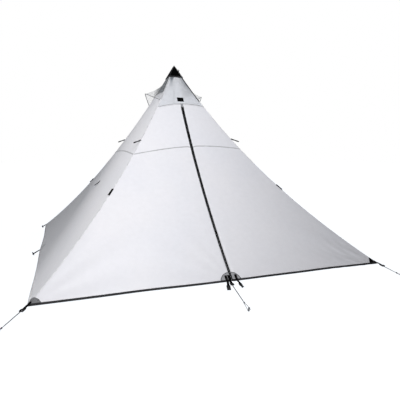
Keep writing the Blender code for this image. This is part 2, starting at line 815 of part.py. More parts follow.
def make_lock(name, frame):
    """A cord lock: a bar for webbing, a window with a toothed edge for the cord, two rails, a cross bar."""
    half, deep = LOCK_WIDTH / 2, LOCK_THICK / 2
    outer = rounded(LOCK_LENGTH, LOCK_WIDTH, LOCK_BAR / 2, 2, (LOCK_LENGTH / 2, 0))
    slot = rounded(LOCK_SLOT, LOCK_SLOT_WIDTH, LOCK_SLOT / 4, 1, (LOCK_BAR + LOCK_SLOT / 2, 0))
    high = LOCK_LENGTH - 2 * LOCK_BAR
    low, side = high - LOCK_WINDOW_LENGTH, LOCK_WINDOW_WIDTH / 2
    window = [(low, side), (low, -side)]
    pitch = LOCK_WINDOW_WIDTH / LOCK_TEETH
    for k in range(LOCK_TEETH):
        window.append((high, -side + pitch * k))
        window.append((high - LOCK_TOOTH, -side + pitch * (k + 0.5)))
    window.append((high, side))
    lock = add(name, plate_mesh(name, (outer, slot, window), LOCK_THICK), PLASTIC_FINISH, frame)
    top = deep + LOCK_RAIL_RISE
    start = LOCK_BAR + LOCK_SLOT + LOCK_BAR / 2
    for k, sign in enumerate((-1, 1)):
        near, far = sorted((sign * (half - LOCK_EDGE), sign * (half - LOCK_EDGE - LOCK_RAIL)))
        rail = box_mesh(f"{name}_rail_{k}", (start, near, deep / 2), (LOCK_LENGTH - LOCK_EDGE, far, top))
        combine(lock, "UNION", rail, frame)
    inner = half - LOCK_RAIL
    low = (LOCK_LENGTH - LOCK_BAR, -inner, deep + LOCK_RAIL_RISE / 2)
    high = (LOCK_LENGTH - 2 * LOCK_EDGE, inner, top - LOCK_EDGE)
    combine(lock, "UNION", box_mesh(f"{name}_bar", low, high), frame)


def hung_strap(name, frame, bar, thick, tail, tail_sides):
    """Webbing that comes down the canopy, goes round the bar of a lock or a buckle, and is sewn to itself."""
    rise = thick / 2 + STRAP_GAP
    turn_at = bar + STRAP_GAP
    sewn = rise - WEBBING - STRAP_GAP
    local = [
        (-turn_at, rise),
        (turn_at, rise),
        (turn_at, -rise),
        (-turn_at, -rise),
        (-3 * turn_at, sewn - WEBBING_LIFT),
        (-4 * turn_at, sewn),
    ]
    across = frame.to_3x3() @ Vector((0, 1, 0))
    line = list(tail) + [frame @ Vector((x, 0, z)) for x, z in local]
    sides = list(tail_sides) + [across] * len(local)
    return strap(name, line, sides, WEBBING_WIDTH, 1.0)


def make_guyed_corner(name, place):
    """A guyed corner: webbing over the ridge's foot, and a lock in line with its cord."""
    side = CORNERS[name]
    corner = corner_point(side)
    ahead = (notch_of(place) - corner).normalized()
    frame = frame_along(corner + ahead * LOCK_REACH, ahead)
    make_lock(f"{name}_lock", frame)
    high = ridge_point(side, HEM_HEIGHT + CORNER_RISE, CREST_LIFT)
    middle = ridge_point(side, HEM_HEIGHT + CORNER_RISE / 2, CREST_LIFT)
    over = corner + UP * LOCK_THICK
    across = UP.cross(level(corner))
    turning = (across + UP.cross(ahead)).normalized()
    tail, sides = (high, middle, over), (across, across, turning)
    hung_strap(f"{name}_webbing", frame, LOCK_BAR, LOCK_THICK, tail, sides)
    return frame


def make_front_mid(place):
    """The tie at the middle of the front hem: webbing from the left of the zip down to a lock."""
    tie = front_frame(HEM_HEIGHT, -MID_TIE_INSET)
    start = tie.translation.copy()
    ahead = (notch_of(place) - start).normalized()
    frame = frame_along(start + ahead * LOCK_REACH, ahead)
    make_lock("front_mid_lock", frame)
    slope, normal = tie.col[1].to_3d(), tie.col[2].to_3d()
    high = start + slope * MID_TAIL + normal * WEBBING_LIFT
    over = start + normal * LOCK_THICK
    turning = (ACROSS + UP.cross(ahead)).normalized()
    hung_strap("front_mid_webbing", frame, LOCK_BAR, LOCK_THICK, (high, over), (ACROSS, turning))
    return frame


def guy_route(frame, place):
    """A guyline's route: straight from the lock's mouth, then a long eye round the stake and back."""
    start = frame @ Vector((LOCK_LENGTH + CORD_GAP, 0, 0))
    notch = notch_of(place)
    ahead = (notch - start).normalized()
    aside = UP.cross(ahead).normalized()
    hold = STAKE_RADIUS * STAKE_NOTCH_SHARE + CORD_RADIUS + 2 * CORD_GAP
    spread = hold * EYE_WIDTH_SHARE
    knot = notch - ahead * EYE_LENGTH
    shoulder, taper = ahead * EYE_LENGTH * EYE_SHOULDER_SHARE, aside * spread * EYE_TAPER_SHARE
    bend = ahead * hold * EYE_BEND_SHARE
    route = [start + (knot - start) * share for share in GUY_STRAIGHT_SHARES]
    route += [notch - shoulder + taper, notch - bend + aside * spread]
    for turn in np.linspace(QUARTER, -QUARTER, EYE_TURNS):
        turn = float(turn)
        route.append(notch + ahead * hold * math.cos(turn) + aside * spread * math.sin(turn))
    route += [notch - bend - aside * spread, notch - shoulder - taper]
    route.append(knot - aside * (2 * CORD_RADIUS + CORD_GAP) + ahead * CORD_RADIUS)
    return route


def make_hem_loop(name, start, place):
    """A webbing loop from the hem round a stake: a band on edge, its ends together at the hem."""
    notch = notch_of(place)
    ahead = (notch - start).normalized()
    aside = UP.cross(ahead).normalized()
    up = ahead.cross(aside)
    centre = notch - ahead * (LOOP_INNER - STAKE_RADIUS - LOOP_TILT_ROOM)
    along, out = LOOP_NECK_SHARES
    neck = start + ahead * (centre - start).length * along
    mouth, bow = aside * LOOP_MOUTH / 2, aside * LOOP_INNER * out
    first = start + ahead * STRAP_GAP
    line = [first + mouth, neck + bow]
    for turn in np.linspace(QUARTER, -QUARTER, LOOP_TURNS):
        turn = float(turn)
        line.append(centre + (ahead * math.cos(turn) + aside * math.sin(turn)) * LOOP_INNER)
    line += [neck - bow, first - mouth]
    strap(name, line, [up] * len(line), LOOP_WIDTH, -1.0)


def make_ridge_loop(name, side):
    """A thin cord loop sewn into a ridge, hanging a little."""
    stand = RIDGE_LOOP_RADIUS + CORD_GAP
    top = ridge_point(side, RIDGE_LOOP_HEIGHT, stand)
    low = ridge_point(side, RIDGE_LOOP_HEIGHT - RIDGE_LOOP_WIDTH, stand)
    hang = (level(top) + (low - top).normalized() * RIDGE_LOOP_HANG_SHARE).normalized()
    route = [top]
    for out, across in RIDGE_LOOP_SHARES:
        route.append(top + (low - top) * across + hang * RIDGE_LOOP_LENGTH * out)
    route.append(low)
    cord(f"{name}_ridge_loop", smooth_line(route, RIDGE_LOOP_STEP), RIDGE_LOOP_RADIUS, CORD_FINISH)


def make_tab(name, point_of, side, height, lift):
    """A webbing tab sewn on at its top, lying down the slope and standing off a little at its free end."""
    line = []
    for share in TAB_SHARES:
        line.append(point_of(side, height - TAB_DROP * share, lift + TAB_FLARE * share**2))
    across = UP.cross(level(line[0]))
    strap(name, line, [across] * len(line), TAB_WIDTH, 1.0)


def make_ties():
    """Everything that holds the canopy to the ground, and the ties higher up."""
    places = stake_places()
    for name, place in places.items():
        make_stake(name, place)
    frames = {name: make_guyed_corner(name, places[name]) for name in ("front_left", "front_right")}
    frames["front_mid"] = make_front_mid(places["front_mid"])
    for name, frame in frames.items():
        route = guy_route(frame, places[name])
        cord(f"{name}_guyline", smooth_line(route, GUY_STEP), CORD_RADIUS, CORD_FINISH)
    for name in ("back_left", "back_right"):
        corner = corner_point(CORNERS[name])
        start = corner - level(corner) * RIDGE_TRIM / math.sqrt(2)
        make_hem_loop(f"{name}_webbing", start, places[name])
    for side in ("left", "right", "back"):
        make_hem_loop(f"{side}_mid_webbing", middle_point(side, HEM_HEIGHT), places[f"{side}_mid"])
    for name, side in CORNERS.items():
        make_ridge_loop(name, side)
        make_tab(f"{name}_ridge_tab", ridge_point, side, TAB_HEIGHT, CREST_LIFT)
    for side in ("left", "right"):
        make_tab(f"{side}_panel_tab", middle_point, side, SIDE_TAB_HEIGHT, WEBBING_LIFT)


def buckle_half(name, length, frame):
    """A buckle half's block with softened edges and a slot for its webbing, from its bar along X."""
    half, deep = BUCKLE_WIDTH / 2, BUCKLE_THICK / 2
    block = add(name, box_mesh(name, (0, -half, -deep), (length, half, deep)), PLASTIC_FINISH, frame)
    edge = block.modifiers.new("edge", "BEVEL")
    edge.width = BUCKLE_ROUND
    edge.segments = 1
    edge.limit_method = "ANGLE"
    side, past = half - BUCKLE_BAR, deep + OVERRUN
    corners = (BUCKLE_BAR, -side, -past), (BUCKLE_BAR + BUCKLE_SLOT, side, past)
    combine(block, "DIFFERENCE", box_mesh(f"{name}_slot", *corners), frame)
    return block


def make_socket(frame):
    """The socket: a flat sleeve, open at its mouth and in a window on each edge for the prongs' catches."""
    half, inside = BUCKLE_WIDTH / 2, BUCKLE_THICK / 2 - BUCKLE_WALL
    socket = buckle_half("buckle_socket", SOCKET_LENGTH, frame)
    deep_end = BUCKLE_BAR + BUCKLE_SLOT + BUCKLE_BAR
    room = (deep_end, BUCKLE_WALL - half, -inside), (SOCKET_LENGTH + OVERRUN, half - BUCKLE_WALL, inside)
    combine(socket, "DIFFERENCE", box_mesh("socket_room", *room), frame)
    high = SOCKET_LENGTH - BUCKLE_WINDOW_INSET
    windows = (high - BUCKLE_WINDOW, -half - OVERRUN, -inside), (high, half + OVERRUN, inside)
    combine(socket, "DIFFERENCE", box_mesh("socket_windows", *windows), frame)


def make_plug(frame):
    """The plug: a block with a straight middle prong and two side prongs with catches for the windows."""
    half, deep = BUCKLE_WIDTH / 2, BUCKLE_THICK / 2 - BUCKLE_WALL - BUCKLE_GAP
    plug = buckle_half("buckle_plug", PLUG_LENGTH, frame)
    root, tip = PLUG_LENGTH - BUCKLE_WALL, PLUG_LENGTH + PRONG_LENGTH
    slim = PRONG_WIDTH / 2
    middle = box_mesh("middle_prong", (root, -slim, -deep), (tip - PRONG_TIP, slim, deep))
    combine(plug, "UNION", middle, frame)
    outer = half - BUCKLE_WALL - BUCKLE_GAP
    inner = outer - PRONG_WIDTH
    catch = tip - PRONG_TIP - BUCKLE_WINDOW / 2
    lean = PRONG_WIDTH * PRONG_LEAN_SHARE
    for sign in (-1, 1):
        outline = [
            (root, outer - lean),
            (catch, outer - lean),
            (catch + lean, half - BUCKLE_ROUND),
            (tip - PRONG_TIP, half - BUCKLE_ROUND),
            (tip, inner),
            (catch, inner - lean),
            (root, inner - lean),
        ]
        rings = [[Vector((x, sign * y, z)) for x, y in outline] for z in (-deep, deep)]
        combine(plug, "UNION", loft_mesh(f"side_prong_{sign}", rings), frame)


def buckle_frame(sign, run, length):
    """A place for a buckle half that hangs from the hem, and the start of the webbing that carries it."""
    tie = front_frame(HEM_HEIGHT, sign * BUCKLE_INSET)
    start = tie.translation.copy()
    tip = start + run + UP * (BUCKLE_TIP_RISE - start.z)
    ahead = (tip - start).normalized()
    slope, normal = tie.col[1].to_3d(), tie.col[2].to_3d()
    tail = (start + slope * BUCKLE_TAIL + normal * WEBBING_LIFT, start + normal * BUCKLE_THICK / 2)
    sides = (ACROSS, (ACROSS + UP.cross(ahead)).normalized())
    return frame_along(tip - ahead * length, ahead), tail, sides


def make_buckle():
    """The side-release buckle that takes the load off the zip: socket on the left, plug on the door."""
    frame, tail, sides = buckle_frame(-1, SOCKET_RUN, SOCKET_LENGTH)
    make_socket(frame)
    hung_strap("buckle_strap", frame, BUCKLE_BAR, BUCKLE_THICK, tail, sides)
    frame, tail, sides = buckle_frame(1, PLUG_RUN, PLUG_LENGTH + PRONG_LENGTH)
    make_plug(frame)
    hung_strap("door_strap", frame, BUCKLE_BAR, BUCKLE_THICK, tail, sides)


def make_pole():
    """The centre pole: rubber foot, lower tube, upper tube with its tip, and the clamp between them."""
    bore = LOWER_RADIUS - TUBE_WALL
    upper = bore - POLE_CLEARANCE
    lift = FOOT_SOLE + POLE_CLEARANCE
    seat = LOWER_RADIUS + POLE_CLEARANCE
    low_top = lift + LOWER_LENGTH
    foot = (
        (0, FOOT_SOLE),
        (seat, FOOT_SOLE),
        (seat, FOOT_HEIGHT),
        (seat + FOOT_RIM, FOOT_HEIGHT),
        (FOOT_RADIUS, FOOT_SOLE),
        (FOOT_RADIUS, 0),
        (0, 0),
    )
    turned("pole_foot", foot, RUBBER_FINISH)
    lower = (LOWER_RADIUS, low_top), (LOWER_RADIUS, lift), (bore, lift), (bore, low_top)
    turned("pole_lower", lower, POLE_FINISH)
    cup_low = PEAK_HEIGHT - CUP_TOP_DROP - CUP_LENGTH
    shoulder = cup_low - POLE_CLEARANCE
    tip_top = cup_low + CUP_LENGTH * CUP_BORE_SHARE - POLE_CLEARANCE
    upper_low = low_top - POLE_OVERLAP
    plug_low = shoulder - POLE_PLUG
    upper_tube = (
        (0, tip_top),
        (POLE_TIP_RADIUS, tip_top),
        (POLE_TIP_RADIUS, shoulder),
        (upper, shoulder),
        (upper, upper_low),
        (upper - TUBE_WALL, upper_low),
        (upper - TUBE_WALL, plug_low),
        (0, plug_low),
    )
    turned("pole_upper", upper_tube, POLE_FINISH)
    make_clamp(low_top, upper)


def make_clamp(low_top, upper):
    """The clamp: a collar over the lower tube's mouth, with ears that hold an upright pin for the lever."""
    grip = LOWER_RADIUS + POLE_CLEARANCE
    neck = upper + POLE_CLEARANCE
    foot = low_top + COLLAR_CAP / 2 - COLLAR_HEIGHT
    top = low_top + COLLAR_CAP
    ledge = low_top + POLE_CLEARANCE
    profile = (
        (COLLAR_RADIUS, top),
        (COLLAR_RADIUS, foot),
        (grip, foot),
        (grip, ledge),
        (neck, ledge),
        (neck, top),
    )
    clamp = turned("pole_clamp", profile, PLASTIC_FINISH)
    pin_at = COLLAR_RADIUS + EAR_REACH / 2
    middle = (foot + ledge) / 2
    stand = LEVER_HEIGHT / 2 + LEVER_GAP
    sunk = (COLLAR_RADIUS + grip) / 2
    ears = (foot + LEVER_GAP, middle - stand), (middle + stand, top - LEVER_GAP)
    for k, (low, high) in enumerate(ears):
        corners = (sunk, -EAR_WIDTH / 2, low), (COLLAR_RADIUS + EAR_REACH, EAR_WIDTH / 2, high)
        combine(clamp, "UNION", box_mesh(f"clamp_ear_{k}", *corners))
    pin = rod_mesh("clamp_pin", PIN_RADIUS, 2 * stand + 2 * LEVER_GAP, PIN_SIDES, (pin_at, 0, middle))
    combine(clamp, "UNION", pin)
    make_lever(pin_at, middle)


def make_lever(pin_at, middle):
    """The lever: a barrel on the pin and a curved handle that lies round the collar."""
    inner = COLLAR_RADIUS + LEVER_GAP
    outer = inner + LEVER_THICK
    turns = np.linspace(LEVER_START, LEVER_SWEEP, LEVER_POINTS)
    outline = [(outer * math.cos(turn), outer * math.sin(turn)) for turn in turns]
    last_x, last_y = outline[-1]
    outline.append((last_x - LEVER_FLICK, last_y - LEVER_FLICK))
    outline.append((last_x - LEVER_FLICK + LEVER_THICK / 2, last_y - 2 * LEVER_FLICK))
    outline += [(inner * math.cos(turn), inner * math.sin(turn)) for turn in reversed(turns)]
    mesh = plate_mesh("pole_lever", ([(x - pin_at, y) for x, y in outline],), LEVER_HEIGHT)
    place = Matrix.Translation((pin_at, 0, middle))
    lever = add("pole_lever", mesh, PLASTIC_FINISH, place)
    bore = PIN_RADIUS + PIN_GAP
    barrel = rod_mesh("lever_barrel", bore + LEVER_BARREL_WALL, LEVER_HEIGHT, BARREL_SIDES)
    combine(lever, "UNION", barrel, place)
    hole = rod_mesh("lever_bore", bore, LEVER_HEIGHT + OVERRUN, BARREL_SIDES)
    combine(lever, "DIFFERENCE", hole, place)


def main():
    make_canopy()
    make_hoods()
    make_peak()
    make_zip()
    make_ties()
    make_buckle()
    make_pole()
    make_pivots()


main()
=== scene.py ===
"""Looks for a four-sided pyramid shelter on a telescoping centre pole, pitched taut with stakes.

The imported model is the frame. Cloth, trims, webbing and cords are made here over it, and its
hard pieces get finished materials. Lengths are in metres. X runs along the front hem, Y to the
back, Z up, and the origin is on the ground under the peak. The sides are named as seen from the
front, and each is one curved surface, turned a quarter turn at a time.
"""

import math

import bmesh
import bpy
import numpy as np
from bpy.props import FloatProperty, FloatVectorProperty, PointerProperty
from mathutils import Euler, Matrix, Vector


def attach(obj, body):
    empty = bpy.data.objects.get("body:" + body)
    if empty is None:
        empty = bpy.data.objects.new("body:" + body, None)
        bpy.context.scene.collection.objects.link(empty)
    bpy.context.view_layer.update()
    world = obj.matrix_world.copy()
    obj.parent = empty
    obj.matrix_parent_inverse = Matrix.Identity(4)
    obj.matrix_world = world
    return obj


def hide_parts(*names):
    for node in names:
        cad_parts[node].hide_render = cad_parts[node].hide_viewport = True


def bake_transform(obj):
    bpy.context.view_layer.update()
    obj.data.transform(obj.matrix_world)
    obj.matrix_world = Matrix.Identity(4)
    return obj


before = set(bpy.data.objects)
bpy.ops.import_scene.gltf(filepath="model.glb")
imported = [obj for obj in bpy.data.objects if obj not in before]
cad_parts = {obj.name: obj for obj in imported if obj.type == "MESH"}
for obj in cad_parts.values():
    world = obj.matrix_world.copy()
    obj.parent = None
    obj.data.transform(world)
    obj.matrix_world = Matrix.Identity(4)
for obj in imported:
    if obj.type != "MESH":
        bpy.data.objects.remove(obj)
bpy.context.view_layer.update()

bl_info = {
    "name": "Pyramid shelter looks",
    "version": (1, 0, 0),
    "blender": (4, 5, 0),
    "location": "View3D > Sidebar > Shelter",
    "description": "Cloth, trims, webbing, cords, finishes and studio for a pyramid shelter",
    "category": "Object",
}

# The canopy's measures, as in the solids but for the fullness of the back left ridge, the cone's
# flare, the hoods' rise, the tapes' and tabs' widths and the ridge loops' length and rises
HALF_BASE = 1.395
PEAK = 1.9
HEM = 0.05
RIDGE_SAG = 0.137
BACK_LEFT_FULLNESS = 0.028
PANEL_SAG = 0.09
HEM_DRAW = 0.008
HEM_BAND = 0.45
CONE_BASE = 1.77
CONE_NECK, CONE_SLANT = 1.884, 0.114
CONE_FLARE = 0.0045
NET_BASE = 1.6
TOP_SEAM = 1.455
# How many times longer the cloth is than it is high
SLOPE = 1.24
HOOD_SIDE_DROP = 0.255
HOOD_TIP_DROP = 0.171
HOOD_LIFT = 0.136
HOOD_RISE = 3.1
BRIM_THICK = 0.0042
FOLD_TOP_REACH = 0.016
FOLD_HEM_INSET = 0.18
FOLD_ROOM = 0.004
ZIP_REACH = 0.0084
TAPE_EDGE = 0.0118
TAPE_FOOT_EDGE, TAPE_TOP_EDGE = 0.0094, 0.0142
TAPE_REACHES = (0.00056, 0.0024, 0.0034, 0.0044, 0.0062, 0.0076, 0.009)
TAPE_LIFTS = (-0.0008, -0.0008, -0.0004, 0.0003, 0.0003, 0.001, 0.0011, 0.0011)
COIL_REACH = 0.00228
COIL_TOPS = {"left": 1.4542, "right": 1.405}
ZIP_FOOT = 0.062
STRAP_THICK = 0.0012
STRAP_WIDTH = 0.019
STRAP_GAP = 0.0004
STRAP_STEP = 0.0016
HEM_LOOP_RADIUS, HEM_LOOP_WIDTH = 0.0095, 0.008
TAB_WIDTH, TAB_THICK = 0.02, 0.005
LOCK_BAR, LOCK_THICK, LOCK_LENGTH, LOCK_REACH = 0.003, 0.0036, 0.03, 0.034
BUCKLE_BAR, BUCKLE_THICK, BUCKLE_INSET, BUCKLE_TAIL = 0.0024, 0.0078, 0.04, 0.05
SOCKET_LENGTH, PLUG_LENGTH = 0.036, 0.039
STAKE_LEAN, STAKE_REACH, STAKE_RADIUS = 0.36, 0.06, 0.0068
NOTCH_HEIGHT, NOTCH_RADIUS = 0.014, 0.00476
CORD_RADIUS, CORD_STEP = 0.0015, 0.0031
EYE_LENGTH = 0.085
KNOT_REACH = 0.0034
LOOP_RADIUS = 0.0012
LOOP_LENGTH = 0.074
LOOP_HEIGHTS = (1.14, 1.129)
LOOP_RISE = {"front_left": -0.027, "back_left": 0.022}

SIDES = ("front", "right", "back", "left")
CORNERS = {"front_left": "front", "front_right": "right", "back_right": "back", "back_left": "left"}
UP = np.array([0.0, 0.0, 1.0])
ACROSS = np.array([1.0, 0.0, 0.0])

# Level runs from under each tie of the front hem to what it leads to
GUY_RUNS = {
    "front_left": np.array([-0.153, -0.27, 0]),
    "front_right": np.array([-0.011, -0.267, 0]),
    "front_mid": np.array([-0.088, -0.392, 0]),
}
BUCKLE_RUNS = {"socket": np.array([-0.011, -0.053, 0]), "plug": np.array([0.029, -0.046, 0])}
BUCKLE_TIP_RISE = 0.0074

# The seam that joins two widths of cloth: its height at a side's left ridge, middle and right ridge
LOW_SEAMS = {
    "front": (0.98, 1.055, 1.037),
    "right": (1.037, 1.05, 1.0),
    "back": (1.0, 1.05, 1.0),
    "left": (1.01, 1.022, 0.98),
}
HIGH_SEAM = (1.438, 1.480, 1.463)

# Layers over the cloth: how far out the outer face of each is
SEWN = 0.0007
BOUND = 0.0016
PATCHED = 0.0013
TAPE_THICK, BINDING_THICK, PATCH_THICK = 0.0006, 0.0026, 0.001

# From which share of the way to a ridge the seams' tapes run, beside the zip, and to which
ZIP_SHARE, EDGE_SHARE = 0.012, 0.995

# How far along its half ellipse a patch's rim is bound
RIM_SHARE = 0.995

# Each half-round patch: its side, its span across, its height, and its body
MIDDLE_PATCHES = {
    "left_mid": ("left", -0.08, 0.08, 0.055, "canopy"),
    "right_mid": ("right", -0.08, 0.08, 0.055, "canopy"),
    "back_mid": ("back", -0.08, 0.08, 0.055, "canopy"),
    "front_mid_left": ("front", -0.088, -TAPE_EDGE, 0.052, "canopy"),
    "front_mid_right": ("front", TAPE_EDGE, 0.076, 0.052, "door"),
}

# From which place to which, across the front and down it
LABEL_SPAN, LABEL_HEIGHTS = (-0.036, 0.03), (1.545, 1.503)
GARAGE_SPAN, GARAGE_HEIGHTS = (-0.012, 0.012), (1.481, 1.4445)

# What all the cloths' shaders share
THIN_CLOTH = {"Sheen_Weight": 0.15, "Sheen_Roughness": 0.4}

# The photograph's view, and each light's place, aim, size and colour
CAMERA_PLACE = (-1.1571, -3.588, 0.945)
CAMERA_TURN = (81.6608, 0, -18.3123)
CAMERA_LENS = 31.1271
CAMERA_SHIFT = (0.0581, 0.0226)
LIGHTS = {
    "key": ((-0.39, -3.39, 3.27), (-2.0, -1.79, 1.96), 0.9, (1.0, 0.99, 0.985)),
    "side": ((-2.41, 0.07, 1.47), (-2.0, -0.49, 2.0), 0.6, (1.0, 0.985, 0.96)),
    "back": ((4.2, 3.6, 3.4), (0.3, 0.3, 0.7), 3.0, (1.0, 1.0, 1.0)),
}


# Shapes of the canopy


def arc_of(span, sag):
    """The circle through the peak and a hem point, sagging inwards.

    Radius = (half chord squared + sag squared) / 2 sag.
    """
    rise = PEAK - HEM
    chord = math.hypot(span, rise)
    radius = (chord**2 / 4 + sag**2) / (2 * sag)
    away = radius - sag
    return span / 2 + away * rise / chord, (PEAK + HEM) / 2 + away * span / chord, radius


RIDGE_ARC = arc_of(HALF_BASE * math.sqrt(2), RIDGE_SAG)
PANEL_ARC = arc_of(HALF_BASE, PANEL_SAG)


def reach_on(arc, height):
    """How far out a circle is at a height: centre less the root of radius squared less rise squared."""
    out, up, radius = arc
    return out - np.sqrt(radius**2 - (height - up) ** 2)


def ridge_reach(height):
    """How far a ridge stands out square to its two sides: its way out over the root of 2."""
    return reach_on(RIDGE_ARC, height) / math.sqrt(2)


def side_reach(share, height):
    """A side's reach: the ridge's plus a parabola to the middle line's, less a draw near the hem."""
    ridge, middle = ridge_reach(height), reach_on(PANEL_ARC, height)
    near_hem = np.clip(1 - (height - HEM) / HEM_BAND, 0, 1) ** 2
    return ridge + (middle - ridge) * (1 - share**2) - HEM_DRAW * np.sin(math.pi * share) ** 2 * near_hem


def hem_at(share):
    """The hem's height: level, with a ripple of a millimetre that fades out at the staked points."""
    return HEM + 0.001 * np.sin(11 * share) * np.sin(math.pi * share) ** 2


def fullness(side, share, height):
    """The back left ridge hangs fuller: a half sine up it, times the share towards it to the power 1.5."""
    toward = {"left": (1 - share) / 2, "back": (1 + share) / 2}.get(side, 0 * share)
    up = np.clip((height - HEM) / (CONE_BASE - HEM), 0, 1)
    return BACK_LEFT_FULLNESS / math.sqrt(2) * np.sin(math.pi * up) * np.clip(toward, 0, 1) ** 1.5


def side_before(side):
    """The side to the left of a side, as seen from outside."""
    return SIDES[SIDES.index(side) - 1]


def on_side(side, across, height, lift=0.0):
    """World points: the reach and the place across, turned by the side's quarter turns."""
    across, height, lift = np.broadcast_arrays(across, height, lift)
    share = across / ridge_reach(height)
    reach = side_reach(share, height) + lift
    turn = SIDES.index(side) * math.pi / 2
    fuller = fullness(side, share, height)
    x = across * math.cos(turn) + reach * math.sin(turn) - fuller
    y = across * math.sin(turn) - reach * math.cos(turn) + fuller
    return np.stack([x, y, height], -1)


def bump_at(value, centre, width):
    """A soft hump: e to the minus square of the distance in widths."""
    return np.exp(-(((value - centre) / width) ** 2))


def fan(across, height, tie, low, spread, folds, phase):
    """Folds that run out of a tie.

    A sine of the angle about the tie, times far times e to (1 - far), where far is the distance
    over the spread.
    """
    aside, rise = across - tie, (height - low) * SLOPE
    far = np.hypot(aside, rise) / spread
    return np.sin(folds * np.arctan2(rise, aside) + phase) * far * np.exp(1 - far)


def creases(side, across, height):
    """The cloth's creases, faded out at the ridges and at the zip.

    Fans out of the hem's ties and the cone, long low waves (a product of two sines), and a finer
    crinkle (another product of two) near the front right corner.
    """
    k = SIDES.index(side)
    share = across / ridge_reach(height)
    size = bpy.context.scene.shelter_sizes.crease_height
    total = 0.75 * fan(across, height, -HALF_BASE, HEM, 0.26, 17, 0.4 + k)
    total += 0.8 * fan(across, height, HALF_BASE, HEM, 0.26, 19, 1.3 + k)
    total += 0.5 * fan(across, height, 0, HEM, 0.2, 15, 0.8 * k)
    total += 0.4 * fan(across, height, 0, CONE_BASE, 0.25, 13, 2.1 + k)
    wave = np.sin(5.3 * across + 3.1 * height + k) * np.sin(2.3 * across - 6.7 * height + 2 * k)
    total += 0.45 * wave
    if side in ("front", "right"):
        corner = HALF_BASE if side == "front" else -HALF_BASE
        near = bump_at(np.hypot(across - corner, height - HEM), 0.26, 0.24)
        crinkle = np.sin(61 * across + 23 * np.sin(7 * height)) * np.sin(47 * height + 9 * across)
        total += 1.1 * near * crinkle
    fade = np.clip((1 - np.abs(share)) / 0.09, 0, 1) * np.clip((CONE_BASE - height) / 0.05, 0, 1)
    if side == "front":
        fade = fade * np.clip((np.abs(across) - 0.015) / 0.08, 0, 1)
    return size * total * fade * fade * (3 - 2 * fade)


def skin(side, across, height, lift=0.0):
    """World points of the creased cloth: the side's surface plus its creases plus a lift."""
    across, height = np.broadcast_arrays(across, height)
    return on_side(side, across, height, lift + creases(side, across, height))


def parabola(share, left, middle, right):
    """The curve through three heights, at a side's left ridge, middle and right ridge."""
    return middle + (right - left) / 2 * share + ((left + right) / 2 - middle) * share**2


def low_seam(side, share):
    """The lower seam's height, dipped at the zip."""
    height = parabola(share, *LOW_SEAMS[side])
    return height - (0.01 * bump_at(share, 0, 0.05) if side == "front" else 0)


def high_seam(share):
    """The upper seam's height on the front."""
    return parabola(share, *HIGH_SEAM)


def fold_at(height):
    """The door's fold as a place across the front: a straight line from its top to the hem."""
    foot = HALF_BASE - FOLD_HEM_INSET
    return FOLD_TOP_REACH + (foot - FOLD_TOP_REACH) * (TOP_SEAM - height) / (TOP_SEAM - HEM)


def right_half_across(height, door_columns, yoke_columns):
    """Places across the front's right half: shares to the powers 1.8 and 1.5, closer at the fold."""
    door = 1 - (1 - np.linspace(0, 1, door_columns)) ** 1.8
    yoke = np.linspace(0, 1, yoke_columns)[1:] ** 1.5
    height = np.broadcast_to(height, (len(height), len(door) + len(yoke)))
    fold, ridge = np.maximum(fold_at(height), ZIP_REACH + FOLD_ROOM), ridge_reach(height)
    inner = ZIP_REACH + (fold[:, :door_columns] - ZIP_REACH) * door
    outer = fold[:, door_columns:]
    outer = outer + (ridge[:, door_columns:] - outer) * yoke
    return np.concatenate([inner, outer], 1)


def front_place(height, across=0.0):
    """A place on the front's middle line, and the directions up the slope and out of the cloth."""
    out, up, radius = PANEL_ARC
    reach = reach_on(PANEL_ARC, height)
    normal = np.array([0, -(out - reach) / radius, (up - height) / radius])
    return np.array([across, -reach, height]), np.cross(normal, ACROSS), normal


def ridge_point(side, height, lift=0.0):
    """A point of the ridge at a side's left end, moved out along the diagonal."""
    reach = ridge_reach(height) + lift / math.sqrt(2)
    turn = SIDES.index(side) * math.pi / 2
    fuller = float(fullness(side, -1.0, height))
    x = reach * (math.sin(turn) - math.cos(turn)) - fuller
    y = -reach * (math.sin(turn) + math.cos(turn)) + fuller
    return np.array([x, y, height])


def middle_point(side, height, lift=0.0):
    """A point of the creased cloth on a side's middle line."""
    return skin(side, np.array(0.0), np.array(height), lift)


# Meshes


def unit(vector):
    """Vectors over their own lengths."""
    return vector / np.linalg.norm(vector, axis=-1, keepdims=True)


def level(vector):
    """The level direction of a vector."""
    return unit(np.array([vector[0], vector[1], 0.0]))


def run_along(points):
    """Distance along a line of points: the running sum of the steps between them."""
    return np.concatenate([[0], np.cumsum(np.linalg.norm(np.diff(points, axis=0), axis=1))])


